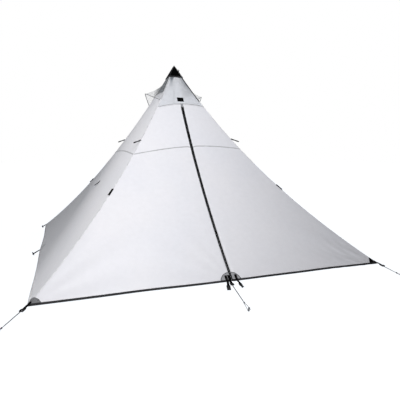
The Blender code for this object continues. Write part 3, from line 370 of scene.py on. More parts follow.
def surface(name, grid, finish, wrap=False, uv=None):
    """A smooth mesh over a grid of points, with a UV map in metres.

    Rows run down and columns to the right as seen from outside. A wrapped grid joins its last
    column to its first. Points that coincide merge, so an end drawn to one point is closed.
    """
    if wrap:
        grid = np.concatenate([grid, grid[:, :1]], 1)
    rows, columns = grid.shape[:2]
    if uv is None:
        u = np.linalg.norm(np.diff(grid, axis=1), axis=2).cumsum(1).mean(0)
        v = np.linalg.norm(np.diff(grid, axis=0), axis=2).cumsum(0).mean(1)
        uv = np.stack(np.meshgrid(np.append(0, u), np.append(0, v)), -1)
    number = np.arange(rows * columns).reshape(rows, columns)
    corners = (number[:-1, :-1], number[1:, :-1], number[1:, 1:], number[:-1, 1:])
    faces = np.stack(corners, -1).reshape(-1, 4)
    mesh = bpy.data.meshes.new(name)
    mesh.from_pydata(grid.reshape(-1, 3).tolist(), [], faces.tolist())
    layer = mesh.uv_layers.new(name="metres")
    layer.data.foreach_set("uv", uv.reshape(-1, 2)[faces.reshape(-1)].astype(np.float32).ravel())
    shape = bmesh.new()
    shape.from_mesh(mesh)
    bmesh.ops.remove_doubles(shape, verts=shape.verts, dist=1e-6)
    bmesh.ops.dissolve_degenerate(shape, edges=shape.edges, dist=1e-7)
    shape.to_mesh(mesh)
    shape.free()
    mesh.shade_smooth()
    mesh.materials.append(finish)
    made = bpy.data.objects.new(name, mesh)
    bpy.context.scene.collection.objects.link(made)
    return made


def thicken(piece, thick):
    """Gives a surface a wall inwards from its outer face."""
    wall = piece.modifiers.new("wall", "SOLIDIFY")
    wall.thickness = thick
    wall.offset = -1
    return piece


def carried(name, path, across, outline, finish):
    """A closed solid: an outline of numbers (p, q) carried along a path.

    Each ring is the point plus p across plus q square to it.
    """
    path = np.asarray(path, float)
    ahead = unit(np.gradient(path, axis=0))
    across = np.broadcast_to(across, path.shape)
    across = unit(across - (across * ahead).sum(1, keepdims=True) * ahead)
    normal = np.cross(ahead, across)
    outline = np.broadcast_to(outline, (len(path), *np.shape(outline)[-2:]))[:, ::-1]
    rings = path[:, None] + outline[..., :1] * across[:, None] + outline[..., 1:] * normal[:, None]
    ends = [np.repeat(path[k, None, None], rings.shape[1], 1) for k in (0, -1)]
    grid = np.concatenate([ends[0], rings, ends[1]])
    return surface(name, grid, finish_named(finish), wrap=True)


def circle(radius, sides=12):
    """A round section of points evenly spaced about its centre."""
    turn = np.linspace(0, math.tau, sides, endpoint=False)
    return np.stack([radius * np.cos(turn), radius * np.sin(turn)], -1)


def flat_oval(width, thick, steps=4):
    """A flat bar's section: a rectangle whose two thin edges are half circles."""
    turn = np.linspace(-math.pi / 2, math.pi / 2, steps + 1)
    half = width / 2 - thick / 2
    right = np.stack([half + thick / 2 * np.cos(turn), thick / 2 * np.sin(turn)], -1)
    return np.concatenate([right, -right])


def smooth_line(points, step):
    """Rows a step apart on the cubic curve through rows of numbers, whose first three are a place."""
    points = np.array([np.asarray(point, float) for point in points])
    before = np.vstack([2 * points[0] - points[1], points[:-1]])
    after = np.vstack([points[1:], 2 * points[-1] - points[-2]])
    slope = (after - before) / 2
    share = np.linspace(0, 1, 24, endpoint=False)[None, :, None]
    start, along = points[:-1, None], np.diff(points, axis=0)[:, None]
    rise = 3 * share**2 - 2 * share**3
    lead, trail = share**3 - 2 * share**2 + share, share**3 - share**2
    dense = start + along * rise + slope[:-1, None] * lead + slope[1:, None] * trail
    dense = np.vstack([dense.reshape(-1, points.shape[1]), points[-1:]])
    run = run_along(dense[:, :3])
    at = np.linspace(0, run[-1], max(2, round(run[-1] / step) + 1))
    return np.stack([np.interp(at, run, dense[:, k]) for k in range(dense.shape[1])], -1)


def area_of(piece):
    """The area of a surface before its wall: the sum of its faces."""
    areas = np.zeros(len(piece.data.polygons), np.float32)
    piece.data.polygons.foreach_get("area", areas)
    return float(areas.sum())


def declare_cloth(piece):
    """Works out a piece's width, length and area as a stretched sheet cut flat, but does nothing with them.
    """
    points = np.zeros(len(piece.data.vertices) * 3, np.float32)
    piece.data.vertices.foreach_get("co", points)
    low, high = points.reshape(-1, 3).min(0), points.reshape(-1, 3).max(0)
    spans = high - low
    width = float(max(spans[0], spans[1]))
    length = float(math.hypot(spans[2], min(spans[0], spans[1])))
    area = area_of(piece)
    if area > width * length:
        width = area / length


def finished(piece, body="canopy", nodes=()):
    """Sets a piece on its body, or for the fold bakes its place into its points, and hides the solids that
    it stands for.
    """
    if body == "fold":
        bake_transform(piece)
    else:
        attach(piece, body)
    if nodes:
        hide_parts(*nodes)
    return piece


# Finishes


class Recipe:
    """A material's nodes: starts as a plain shader, and takes patterns for its colour and its surface."""

    def __init__(self, name, colour, roughness, metallic=0.0, **sockets):
        self.material = bpy.data.materials.new(name)
        self.material.use_nodes = True
        self.tree = self.material.node_tree
        self.shader = self.tree.nodes["Principled BSDF"]
        self.colour = tuple(colour)[:3]
        self.shader.inputs["Base Color"].default_value = (*self.colour, 1)
        self.shader.inputs["Roughness"].default_value = roughness
        self.shader.inputs["Metallic"].default_value = metallic
        for key, value in sockets.items():
            self.shader.inputs[key.replace("_", " ")].default_value = value
        self.height = None

    def put(self, kind, values=None, **settings):
        """Adds a node; each value is a number or another node's output."""
        made = self.tree.nodes.new(kind)
        for key, value in settings.items():
            setattr(made, key, value)
        for key, value in (values or {}).items():
            if isinstance(value, bpy.types.NodeSocket):
                self.tree.links.new(value, made.inputs[key])
            else:
                made.inputs[key].default_value = value
        return made

    def place(self, source="Object", scale=(1, 1, 1), turn=0.0):
        """Coordinates in metres, by the object or by the piece's own UV map, scaled and turned."""
        start = self.put("ShaderNodeTexCoord").outputs[source]
        values = {"Vector": start, "Scale": scale, "Rotation": (0, 0, turn)}
        return self.put("ShaderNodeMapping", values).outputs["Vector"]

    def noise(self, scale, detail, stretch=(1, 1, 1)):
        """A cloudy pattern between 0 and 1, by the object's own coordinates."""
        values = {"Vector": self.place(scale=stretch), "Scale": scale, "Detail": detail}
        return self.put("ShaderNodeTexNoise", values).outputs["Fac"]

    def ribs(self, pitch, turn=0.0):
        """Even ridges a pitch apart: a sine along one direction."""
        values = {"Vector": self.place("UV", turn=turn), "Scale": math.tau / 20 / pitch}
        values["Distortion"] = 0.0
        made = self.put("ShaderNodeTexWave", values, wave_type="BANDS", bands_direction="X")
        return made.outputs["Fac"]

    def crossed(self, operation, pitch):
        """Ridges both ways, put together by an operation."""
        return self.sum(operation, self.ribs(pitch), self.ribs(pitch, turn=math.pi / 2))

    def slanting(self, pitch, turn):
        """Ridges that slant to both sides, the higher of the two at each place."""
        return self.sum("MAXIMUM", self.ribs(pitch, turn=turn), self.ribs(pitch, turn=-turn))

    def sum(self, operation, first, second):
        """An operation on two numbers or outputs."""
        return self.put("ShaderNodeMath", {0: first, 1: second}, operation=operation).outputs[0]

    def shades(self, factor, shares):
        """Colour variation: the base colour times each share, spread over a factor."""
        ramp = self.put("ShaderNodeValToRGB", {"Fac": factor})
        stops = ramp.color_ramp.elements
        for k, (at, share) in enumerate(shares):
            stop = stops[k] if k < 2 else stops.new(at)
            stop.position = at
            share = share if isinstance(share, tuple) else (share,) * 3
            stop.color = (*(min(1, c * s) for c, s in zip(self.colour, share)), 1)
        return ramp.outputs["Color"]

    def mix(self, factor, first, second):
        """Two colours mixed by a factor."""
        values = {0: factor, 6: first, 7: second}
        return self.put("ShaderNodeMix", values, data_type="RGBA").outputs[2]

    def paint(self, colour):
        """Gives the material its colour."""
        self.tree.links.new(colour, self.shader.inputs["Base Color"])

    def spread(self, value, start, end, low, high, **settings):
        """A value from start to end, turned into one from low to high."""
        values = {"Value": value, "From Min": start, "From Max": end, "To Min": low, "To Max": high}
        return self.put("ShaderNodeMapRange", values, **settings).outputs["Result"]

    def ramp(self, *numbers):
        """As spread, with a smooth start and end."""
        return self.spread(*numbers, interpolation_type="SMOOTHSTEP")

    def rough(self, factor, low, high):
        """Gives the material a roughness from low to high by a factor."""
        self.tree.links.new(self.spread(factor, 0.0, 1.0, low, high), self.shader.inputs["Roughness"])

    def relief(self, height, distance, strength):
        """Raises the surface by a pattern; several stack up."""
        values = {"Height": height, "Distance": distance, "Strength": strength}
        if self.height is not None:
            values["Normal"] = self.height
        self.height = self.put("ShaderNodeBump", values).outputs["Normal"]
        self.tree.links.new(self.height, self.shader.inputs["Normal"])

    def crumpled(self):
        """The uneven sheen and the soft crumple that all the cloths share."""
        self.rough(self.noise(40, 4), 0.42, 0.58)
        self.relief(self.noise(11, 6), 0.0012, 0.35)

    def thin(self, shade, dark):
        """The thin cloths' tint, mixed by a factor with a dark one that is painted shade, and their surface.
        """
        pale = self.shades(self.noise(26, 5), ((0.3, 0.95), (0.7, 1.03)))
        self.paint(self.mix(shade, pale, dark))
        self.crumpled()
        self.relief(self.ribs(0.006), 0.0001, 0.25)
        return self.material


def per_face(opacity):
    """The opacity of each of a wall's two faces that together have the one asked for."""
    return 1 - math.sqrt(1 - opacity)


def hood_finish(name, colour):
    """The hoods' thin cloth: denser where it lies close over the netting, near the middle, and darkened
    there with painted shade of the netting seen through it.
    """
    made = Recipe(name, colour, 0.5, **THIN_CLOTH)
    split = made.put("ShaderNodeSeparateXYZ", {0: made.place()})
    aside = made.sum("ABSOLUTE", split.outputs["X"], 0.0)
    high = made.ramp(split.outputs["Z"], 1.578, 1.6, 0, 1)
    # Close over the netting: more opaque, and darkened with painted shade
    near = made.sum("MULTIPLY", made.ramp(aside, 0.205, 0.175, 0, 1), high)
    opacity = made.ramp(near, 0, 1, per_face(0.28), per_face(0.62))
    made.tree.links.new(opacity, made.shader.inputs["Alpha"])
    # The painted shade's colour
    dark = made.shades(made.noise(34, 4), ((0.35, (0.42, 0.44, 0.46)), (0.65, (0.56, 0.58, 0.6))))
    return made.thin(near, dark)


def top_finish(name, colour):
    """The cloth under the cone, with painted shade: a painted dark streak and a painted darker band under
    the cone at its left, and painted shade towards its right ridge.
    """
    made = Recipe(name, colour, 0.5, Alpha=per_face(0.8), **THIN_CLOTH)
    split = made.put("ShaderNodeSeparateXYZ", {0: made.place()})
    up = split.outputs["Z"]
    aside = made.sum("DIVIDE", split.outputs["X"], made.sum("SUBTRACT", 1.92, up))
    # Painted shade towards the right ridge, deeper towards the cone
    right = made.sum("MULTIPLY", made.ramp(aside, 0.05, 0.5, 0, 1), made.ramp(up, 1.5, 1.77, 0.05, 0.75))
    # A painted dark streak at the left, and a painted darker band just under the cone at the left
    from_painted_streak = made.sum("ABSOLUTE", made.sum("ADD", aside, 0.29), 0.0)
    near_painted_streak, near_left = made.ramp(from_painted_streak, 0.02, 0.11, 1, 0), made.ramp(aside, -0.12, -0.25, 0, 1)
    painted_streak = made.sum("MULTIPLY", near_painted_streak, made.ramp(up, 1.62, 1.74, 0, 0.55))
    painted_band_under_cone = made.sum("MULTIPLY", near_left, made.ramp(up, 1.715, 1.77, 0, 0.7))
    shade = made.sum("MINIMUM", made.sum("ADD", made.sum("ADD", right, painted_streak), painted_band_under_cone), 0.85)
    # The painted shade's colour
    dark = made.shades(made.noise(9, 3), ((0.3, (0.16, 0.19, 0.22)), (0.7, (0.2, 0.23, 0.26))))
    return made.thin(shade, dark)


def cloth_finish(name, colour, opacity=1.0, low_darkening=True):
    """Coated ripstop: a fine weave with thicker threads in a square grid, cloudy tint, fine crumple."""
    made = Recipe(name, colour, 0.5, Alpha=per_face(opacity), **THIN_CLOTH)
    cloud = made.noise(1.7, 4)
    tint = made.shades(cloud, ((0.3, (0.955, 0.965, 0.985)), (0.7, (1.03, 1.02, 1.01))))
    fine = made.shades(made.noise(26, 5), ((0.3, 0.93), (0.7, 1.04)))
    threads = made.sum("POWER", made.crossed("MAXIMUM", 0.006), 14.0)
    darker = made.shades(cloud, ((0.0, (0.86, 0.865, 0.88)), (1.0, (0.9, 0.9, 0.91))))
    colour_now = made.mix(made.sum("MULTIPLY", threads, 0.5), made.mix(0.35, tint, fine), darker)
    # Darker, warmer blotches towards the hem, fading out by 0.2 m up
    if low_darkening:
        foot = made.put("ShaderNodeSeparateXYZ", {0: made.place()}).outputs["Z"]
        low_blotches = made.sum("MULTIPLY", made.spread(foot, HEM, 0.2, 0.15, 0.0), made.noise(9, 6))
        low_tint = made.shades(cloud, ((0.0, (0.72, 0.7, 0.67)), (1.0, (0.78, 0.76, 0.73))))
        colour_now = made.mix(low_blotches, colour_now, low_tint)
    made.paint(colour_now)
    made.crumpled()
    made.relief(made.noise(90, 4), 0.0003, 0.3)
    made.relief(made.sum("ADD", threads, made.crossed("MULTIPLY", 0.0006)), 0.0001, 0.25)
    return made.material


def tape_finish(name, colour, stitch, shine=0.2):
    """Folded tape: ribs across its width, with two rows of stitches along it, from its own UV map."""
    made = Recipe(name, colour, 0.65, Specular_IOR_Level=shine)
    base = made.shades(made.noise(30, 5), ((0.25, 0.75), (0.75, 1.3)))
    dash = made.sum("GREATER_THAN", made.ribs(0.0035), 0.4)
    made.paint(made.mix(made.sum("MULTIPLY", dash, 0.35), base, (*stitch, 1)))
    made.relief(made.ribs(0.0009, turn=math.pi / 2), 0.00015, 0.5)
    made.relief(dash, 0.0002, 0.35)
    made.relief(made.noise(160, 3), 0.0002, 0.3)
    return made.material


def webbing_finish(name, colour):
    """Flat webbing: a herringbone of slanting ribs that turn back on each other, and fluff."""
    made = Recipe(name, colour, 0.75, Specular_IOR_Level=0.05)
    slant = made.slanting(0.0013, 0.7)
    made.paint(made.shades(made.sum("MULTIPLY", slant, made.noise(220, 3)), ((0.1, 0.6), (0.8, 1.6))))
    made.rough(slant, 0.6, 0.85)
    made.relief(slant, 0.00025, 0.8)
    made.relief(made.noise(900, 2), 0.00008, 0.4)
    return made.material


def plastic_finish(name, colour, roughness=0.42, shine=0.25):
    """Moulded plastic: fine spark grain, faint flow marks, edges rubbed paler by use."""
    made = Recipe(name, colour, roughness, Specular_IOR_Level=shine)
    worn = made.put("ShaderNodeNewGeometry").outputs["Pointiness"]
    base = made.shades(made.noise(60, 5, stretch=(1, 1, 3)), ((0.3, 0.85), (0.7, 1.25)))
    paler = tuple(min(1, c * 3 + 0.01) for c in made.colour)
    made.paint(made.mix(made.spread(worn, 0.53, 0.65, 0.0, 0.4), base, (*paler, 1)))
    made.rough(made.noise(300, 4), roughness - 0.08, roughness + 0.14)
    made.relief(made.noise(1500, 2), 0.00006, 0.35)
    return made.material


def metal_finish(name, colour, roughness):
    """Drawn tube or bar: fine streaks along it, a little uneven bloom, small scuffs."""
    made = Recipe(name, colour, roughness, 1.0, Anisotropic=0.4)
    streak = made.noise(30, 6, stretch=(40, 40, 1))
    scuff = made.spread(made.noise(140, 6), 0.62, 0.7, 0.0, 1.0)
    base = made.shades(streak, ((0.3, 0.8), (0.7, 1.15)))
    bright = tuple(min(1, c * 1.6 + 0.05) for c in made.colour)
    made.paint(made.mix(made.sum("MULTIPLY", scuff, 0.5), base, (*bright, 1)))
    made.rough(streak, roughness - 0.08, roughness + 0.15)
    made.relief(streak, 0.00005, 0.3)
    return made.material


def rubber_finish(name, colour):
    """Moulded rubber: dusty blotches and a fine grain."""
    made = Recipe(name, colour, 0.85)
    made.paint(made.shades(made.noise(80, 6), ((0.3, 0.7), (0.75, 2.2))))
    made.relief(made.noise(700, 3), 0.0001, 0.5)
    return made.material


def cord_finish(name, colour, fleck):
    """Braided cord: two sets of slanting strands round it, with a bright tracer on one of them."""
    made = Recipe(name, colour, 0.6, Sheen_Weight=0.3)
    strand = made.slanting(0.0016, 0.8)
    base = made.shades(strand, ((0.3, 0.55), (0.9, 1.2)))
    tracer = made.sum("GREATER_THAN", made.ribs(0.0048, turn=0.8), 0.86)
    made.paint(made.mix(tracer, base, (*fleck, 1)))
    made.relief(strand, 0.00025, 0.8)
    made.relief(made.noise(1200, 2), 0.00006, 0.4)
    return made.material


def net_finish(name, colour, opacity):
    """Fine netting, partly see-through: round holes between knitted threads, darker and paler."""
    made = Recipe(name, colour, 0.8, Alpha=per_face(opacity))
    cells = {"Vector": made.place("UV"), "Scale": 700.0, "Randomness": 0.15}
    holes = made.put("ShaderNodeTexVoronoi", cells).outputs["Distance"]
    made.paint(made.shades(holes, ((0.2, 0.6), (0.6, 1.5))))
    made.relief(holes, 0.0002, 0.5)
    return made.material


def skin_of_cone(name, colour):
    """Coated canvas: a coarse plain weave under a dull coating, with scuffs where it folds."""
    made = Recipe(name, colour, 0.7, Specular_IOR_Level=0.02)
    weave = made.crossed("MAXIMUM", 0.0011)
    made.paint(made.shades(made.noise(35, 6), ((0.3, 0.3), (0.75, 0.9))))
    made.rough(weave, 0.5, 0.72)
    made.relief(made.noise(45, 5), 0.0009, 0.5)
    made.relief(weave, 0.00015, 0.6)
    return made.material


# Each finish: its recipe, the name of its colour in the sidebar, and what else the recipe takes
RECIPES = {
    "canopy_cloth": (cloth_finish, "cloth"),
    "seam_cloth": (tape_finish, "ridge", (0.7, 0.7, 0.72)),
    "cross_seam": (tape_finish, "seam", (0.5, 0.505, 0.53)),
    "top_cloth": (top_finish, "top"),
    "hood_cloth": (hood_finish, "hood"),
    "patch_cloth": (cloth_finish, "patch", 0.9, False),
    "pale_patch": (cloth_finish, "pale_patch", 0.92, False),
    "dark_patch": (tape_finish, "webbing", (0.02, 0.02, 0.021), 0.05),
    # Dark tape for the right ridges: painted shadow where the hoods meet them
    "hood_seam": (tape_finish, "hood_seam", (0.03, 0.03, 0.031), 0.05),
    "binding": (tape_finish, "binding", (0.06, 0.06, 0.063), 0.08),
    "brim_binding": (tape_finish, "brim", (0.5, 0.5, 0.52)),
    "cone_cloth": (skin_of_cone, "webbing"),
    "zip_tape": (tape_finish, "webbing", (0.005, 0.005, 0.0054), 0.02),
    "zip_coil": (plastic_finish, "webbing", 0.62, 0.03),
    "blank_label": (webbing_finish, "webbing"),
    "webbing": (webbing_finish, "webbing"),
    "black_plastic": (plastic_finish, "plastic"),
    "guy_cord": (cord_finish, "cord", (0.1, 0.102, 0.105)),
    "loop_sleeve": (webbing_finish, "sleeve"),
    "dark_cord": (cord_finish, "webbing", (0.06, 0.06, 0.063)),
    "stake_alloy": (metal_finish, "stake", 0.34),
    "pole_alloy": (metal_finish, "pole", 0.36),
    "foot_rubber": (rubber_finish, "plastic"),
    "vent_net": (net_finish, "net", 0.88),
}
FINISHES = {}


def finish_named(name):
    """The shelter's finishes by name, each made once from the colours in the sidebar."""
    if name not in FINISHES:
        recipe, colour, *more = RECIPES[name]
        FINISHES[name] = recipe(name, getattr(bpy.context.scene.shelter_colours, colour), *more)
    return FINISHES[name]


# Canopy


def cloth(name, side, place, height, finish="canopy_cloth"):
    """Creased cloth over a grid of places on a side, with its wall, and a UV map in metres."""
    uv = np.stack([place, height * SLOPE], -1)
    made = surface(name, skin(side, place, height), finish_named(finish), uv=uv)
    return thicken(made, bpy.context.scene.shelter_sizes.cloth_thickness)


def panel(name, side, left, right, top, bottom, rows, columns, finish="canopy_cloth"):
    """A panel: columns from its left to its right edge, rows from its top to its bottom, by share."""
    across = np.linspace(0, 1, columns)[None, :]
    down = np.linspace(0, 1, rows)[:, None]
    height = top(across) + (bottom(across) - top(across)) * down
    place = left(height) + (right(height) - left(height)) * across
    return cloth(name, side, place, height, finish)


def hem_between(low, high):
    """The hem's height by the share of the way between two shares of a side."""
    return lambda across: hem_at(low + (high - low) * across)


def make_right_half():
    """The front's right half, from the zip over the door's fold to the ridge, as one cloth."""
    top_share, foot_share = (
        right_half_across(np.array([[height]]), 66, 40) / ridge
        for height, ridge in ((TOP_SEAM, ridge_reach(TOP_SEAM)), (HEM, HALF_BASE))
    )
    rows = np.linspace(0, 1, 90)[:, None]
    height = high_seam(top_share) + (hem_at(foot_share) - high_seam(top_share)) * rows
    return cloth("front_right_cloth", "front", right_half_across(height, 66, 40), height)


def make_canopy():
    """The six cloths of the canopy, in the places of their solids."""

    def ridge_left(height):
        return -ridge_reach(height)

    def zip_edge(height):
        return -ZIP_REACH + 0 * height

    def level_at(height):
        return lambda across: height + 0 * across

    edges = (level_at(CONE_BASE), lambda across: high_seam(2 * across - 1))
    top = panel("front_top_cloth", "front", ridge_left, ridge_reach, *edges, 30, 60, "top_cloth")
    finished(top, nodes=["front_top_panel"])
    edges = (lambda across: high_seam(across - 1), hem_between(-1, -ZIP_REACH / HALF_BASE))
    left = panel("front_left_cloth", "front", ridge_left, zip_edge, *edges, 90, 90)
    finished(left, nodes=["front_left_panel"])
    right = finished(make_right_half(), "fold", ["front_right_yoke", "door_panel"])
    declare_cloth(top)
    declare_cloth(left)
    declare_cloth(right)
    for side, high in (("back", CONE_BASE), ("left", NET_BASE), ("right", NET_BASE)):
        edges = (level_at(high), hem_between(-1, 1))
        made = panel(f"{side}_cloth", side, ridge_left, ridge_reach, *edges, 100, 120)
        finished(made, nodes=[f"{side}_panel"])
        declare_cloth(made)


def strip(name, side, across, height, finish, thick, lift):
    """A sewn strip: a grid of places on a side, lifted to its layer, with a wall back to the cloth."""
    across, height = np.broadcast_arrays(across, height)
    return thicken(surface(name, skin(side, across, height, lift), finish_named(finish)), thick)


def cross_seam(name, side, share, line, body="canopy"):
    """The tape over a seam: five rows about its line, whose columns are shares of the way to the ridge."""
    half = bpy.context.scene.shelter_sizes.seam_width / 2
    height = line + np.linspace(-half, half, 5)[::-1, None]
    tape = strip(name, side, share * ridge_reach(height), height, "cross_seam", TAPE_THICK, SEWN)
    finished(tape, body)


def ridge_tape(name, side):
    """The tape up a ridge: a column group on each of its two sides, and one at the crest between them."""
    before = side_before(side)
    height = np.linspace(CONE_BASE - 0.004, HEM + 0.004, 150)[:, None]
    offset = np.array([1, 0.5, 0.1])[None, :] * bpy.context.scene.shelter_sizes.ridge_tape_width
    ridge = ridge_reach(height)
    one = skin(before, ridge - offset, height, SEWN)
    other = skin(side, (offset - ridge)[:, ::-1], height, SEWN)
    base = on_side(side, -ridge, height)
    crest = on_side(before, ridge, height, SEWN) + on_side(side, -ridge, height, SEWN) - base
    grid = np.concatenate([one, crest, other], 1)
    tape = surface(f"{name}_ridge_tape", grid, finish_named("seam_cloth"))
    finished(thicken(tape, TAPE_THICK))


def make_seams():
    """Tapes over the seams: up each ridge, and along the upper and the lower seams."""
    for name, side in CORNERS.items():
        ridge_tape(name, side)
    left = np.linspace(-EDGE_SHARE, -ZIP_SHARE, 80)[None, :]
    cross_seam("front_left_seam", "front", left, low_seam("front", left))
    right = right_half_across(np.array([[1.04]]), 60, 30) / ridge_reach(1.04) * EDGE_SHARE
    cross_seam("front_right_seam", "front", right, low_seam("front", right), body="fold")
    top = np.linspace(-EDGE_SHARE, EDGE_SHARE, 90)[None, :]
    cross_seam("front_top_seam", "front", top, high_seam(top))
    whole = np.linspace(-EDGE_SHARE, EDGE_SHARE, 150)[None, :]
    for side in ("right", "back", "left"):
        cross_seam(f"{side}_seam", side, whole, low_seam(side, whole))


def make_hem():
    """The hem's binding: a strip that wraps the cloth's edge, from just under the hem to its own width."""
    width = bpy.context.scene.shelter_sizes.binding_width
    rows = np.array([width, width * 0.5, 0.0004, -0.0006])[:, None]
    joint = (HALF_BASE - 0.002) / HALF_BASE
    whole = np.linspace(-joint, joint, 150)[None, :]
    shares = {"back": whole, "left": whole, "right": whole}
    shares["front_left"] = np.linspace(-joint, -ZIP_REACH / HALF_BASE, 150)[None, :]
    shares["front_right"] = right_half_across(np.array([[HEM]]), 90, 30) / HALF_BASE * joint
    for name, share in shares.items():
        dark = name.startswith("front")
        side, finish = ("front", "binding") if dark else (name, "seam_cloth")
        height = hem_at(share) + rows
        place = share * ridge_reach(height)
        band = strip(f"{name}_hem_binding", side, place, height, finish, BINDING_THICK, BOUND)
        body = "fold" if name == "front_right" else "canopy"
        finished(band, body)


def corner_patch(name, side, rise):
    """A stiff patch round a ridge's foot: a triangle at the front right, else a part of a disc."""
    size = bpy.context.scene.shelter_sizes.patch_size
    dark = name == "front_right"
    tall = size * (0.57 if dark else 0.46)
    disc = size * np.sqrt(1 - (0.875 * rise) ** 2) - tall * 1.05 * rise
    width = (size * 1.1 * (1 - rise) if dark else np.maximum(disc, 0)) + 0.002
    inner = width * np.linspace(0, 1, 30)[None, :]
    height = hem_at(1 - inner / HALF_BASE) + tall * rise
    ridge = ridge_reach(height)
    one = skin(side_before(side), ridge - inner, height, PATCHED)[:, ::-1]
    other = skin(side, inner - ridge, height, PATCHED)
    crest = one[:, -1:] + other[:, :1] - on_side(side, -ridge[:, :1], height[:, :1])
    grid = np.concatenate([one[:, :-1], crest, other[:, 1:]], 1)
    patch = surface(f"{name}_patch", grid, finish_named("dark_patch" if dark else "patch_cloth"))
    finished(thicken(patch, PATCH_THICK))


def middle_patch(name, side, low, high, tall, body, rise):
    """A half-round patch at the middle of a hem, half an ellipse, bound along its rim on the front."""
    across = np.linspace(low, high, 60)[None, :]
    reach = max(-low, high)
    top = tall * np.sqrt(np.clip(1 - (across / reach) ** 2, 0.002, 1))
    height = hem_at(across / HALF_BASE) + top * rise
    finish = "pale_patch" if side == "front" else "seam_cloth"
    patch = strip(f"{name}_patch", side, across, height, finish, PATCH_THICK, PATCHED)
    finished(patch, body)
    if side != "front":
        return
    turn = np.arccos(np.clip(np.array([low, high]) / reach * RIM_SHARE, -1, 1))
    turn = np.linspace(*turn, 60)
    across = reach * np.cos(turn)
    rim = skin(side, across, hem_at(across / HALF_BASE) + tall * np.sin(turn), PATCHED)
    outwards = unit(rim - middle_point(side, HEM))
    edge = carried(f"{name}_patch_rim", rim, outwards, flat_oval(0.0045, PATCH_THICK), "binding")
    finished(edge, body)


def make_patches():
    """Stiff patches at the corners, wrapped round the ridge, and half-round ones at the hem's middles."""
    rise = np.linspace(1, 0, 40)[:, None]
    for name, side in CORNERS.items():
        corner_patch(name, side, rise)
    for name, span in MIDDLE_PATCHES.items():
        middle_patch(name, *span, rise)


def make_label():
    """A blank woven label above the upper seam, and the grey garage over the zip's head."""
    across = np.linspace(*LABEL_SPAN, 24)[None, :]
    height = np.linspace(*LABEL_HEIGHTS, 16)[:, None]
    label = strip("blank_label", "front", across, height, "blank_label", 0.0007, 0.0009)
    finished(label)
    across = np.linspace(*GARAGE_SPAN, 8)[None, :]
    height = np.linspace(*GARAGE_HEIGHTS, 12)[:, None]
    flap = 0.003 * bump_at(across, 0, 0.009) * np.clip((1.478 - height) / 0.03, 0, 1)
    garage = strip("zip_garage", "front", across, height, "pale_patch", 0.0008, 0.0012 + flap)
    finished(garage)


# Vents and peak


def hood_points(side, across, down, out=0.0):
    """A hood, down from the cone to the brim.

    It is lifted off the side by a power of the way down, times one less a power of the way
    across, plus a pucker: a product of two sines.
    """
    bend = np.abs(across) ** 1.2
    height = CONE_BASE - 0.0004 - (HOOD_SIDE_DROP * bend + HOOD_TIP_DROP * (1 - bend)) * down
    lift = 0.002 + HOOD_LIFT * down**HOOD_RISE * (1 - bend)
    pucker = np.sin(31 * across + 2 * down) * np.sin(9 * down + 5 * across) * down * (1 - bend)
    return on_side(side, across * (ridge_reach(height) - 0.0015), height, lift + out + 0.0016 * pucker)


def make_net(side):
    """A vent's netting, which sags inwards by a parabola times a sine, and the tape along its foot."""
    across = np.linspace(-1, 1, 50)[None, :]
    height = np.linspace(CONE_BASE, NET_BASE, 24)[:, None]
    place = across * ridge_reach(height)
    down = (CONE_BASE - height) / (CONE_BASE - NET_BASE)
    sag = 0.004 * (1 - across**2) * np.sin(math.pi * down)
    grid, uv = on_side(side, place, height, -sag), np.stack([place, height + 0 * place], -1)
    net = surface(f"{side}_net", grid, finish_named("vent_net"), uv=uv)
    finished(thicken(net, 0.0004), nodes=[f"{side}_vent_mesh"])
    declare_cloth(net)
    height = NET_BASE + np.array([0.006, 0.002, -0.006])[:, None]
    rim = np.linspace(-1, 1, 80)[None, :] * ridge_reach(height) * 0.99
    edge = strip(f"{side}_net_binding", side, rim, height, "seam_cloth", 0.0009, 0.001)
    finished(edge)


def make_hood(side):
    """A vent's hood, and its brim's binding carried along its foot."""
    sizes = bpy.context.scene.shelter_sizes
    down = np.linspace(0, 1, 44)[:, None]
    across = np.linspace(-1, 1, 80)[None, :]
    hood = surface(f"{side}_hood", hood_points(side, across, down), finish_named("hood_cloth"))
    finished(thicken(hood, sizes.cloth_thickness), nodes=[f"{side}_vent_hood"])
    along = np.linspace(-0.985, 0.985, 90)
    brim, inner = (hood_points(side, along, np.full(90, down), -0.0003) for down in (1.0, 0.94))
    section = flat_oval(sizes.brim_width, BRIM_THICK)
    bound = carried(f"{side}_brim_binding", brim, unit(brim - inner), section, "brim_binding")
    finished(bound, nodes=[f"{side}_vent_brim"])
    declare_cloth(hood)


def make_vents():
    """Netting in the two vents, a hood over each, and the tapes that sew the hoods to the ridges."""
    for side in ("left", "right"):
        make_net(side)
        make_hood(side)
    for name, side in CORNERS.items():
        before = side_before(side)
        edge, sign = (before, 1) if before in ("front", "back") else (side, -1)
        height = np.linspace(CONE_BASE, 1.517, 60)[:, None]
        # The tapes on the two right ridges are dark: painted shadow where the hoods meet them
        wide, finish = (0.0115, "hood_seam") if "right" in name else (0.0078, "cross_seam")
        place = sign * (ridge_reach(height) - np.array([0.0003, wide / 2, wide])[:: -sign])
        tape = strip(f"{name}_hood_seam", edge, place, height, finish, 0.001, 0.0016)
        finished(tape)


def cone_ring(height, count, lift=0.0):
    """Rings round all four sides: each side's surface from ridge to ridge, in turn."""
    share = np.linspace(-1, 1, count, endpoint=False)[None, :]
    lift = lift + 0 * share * height
    return np.concatenate([on_side(side, share * ridge_reach(height), height, lift) for side in SIDES], 1)


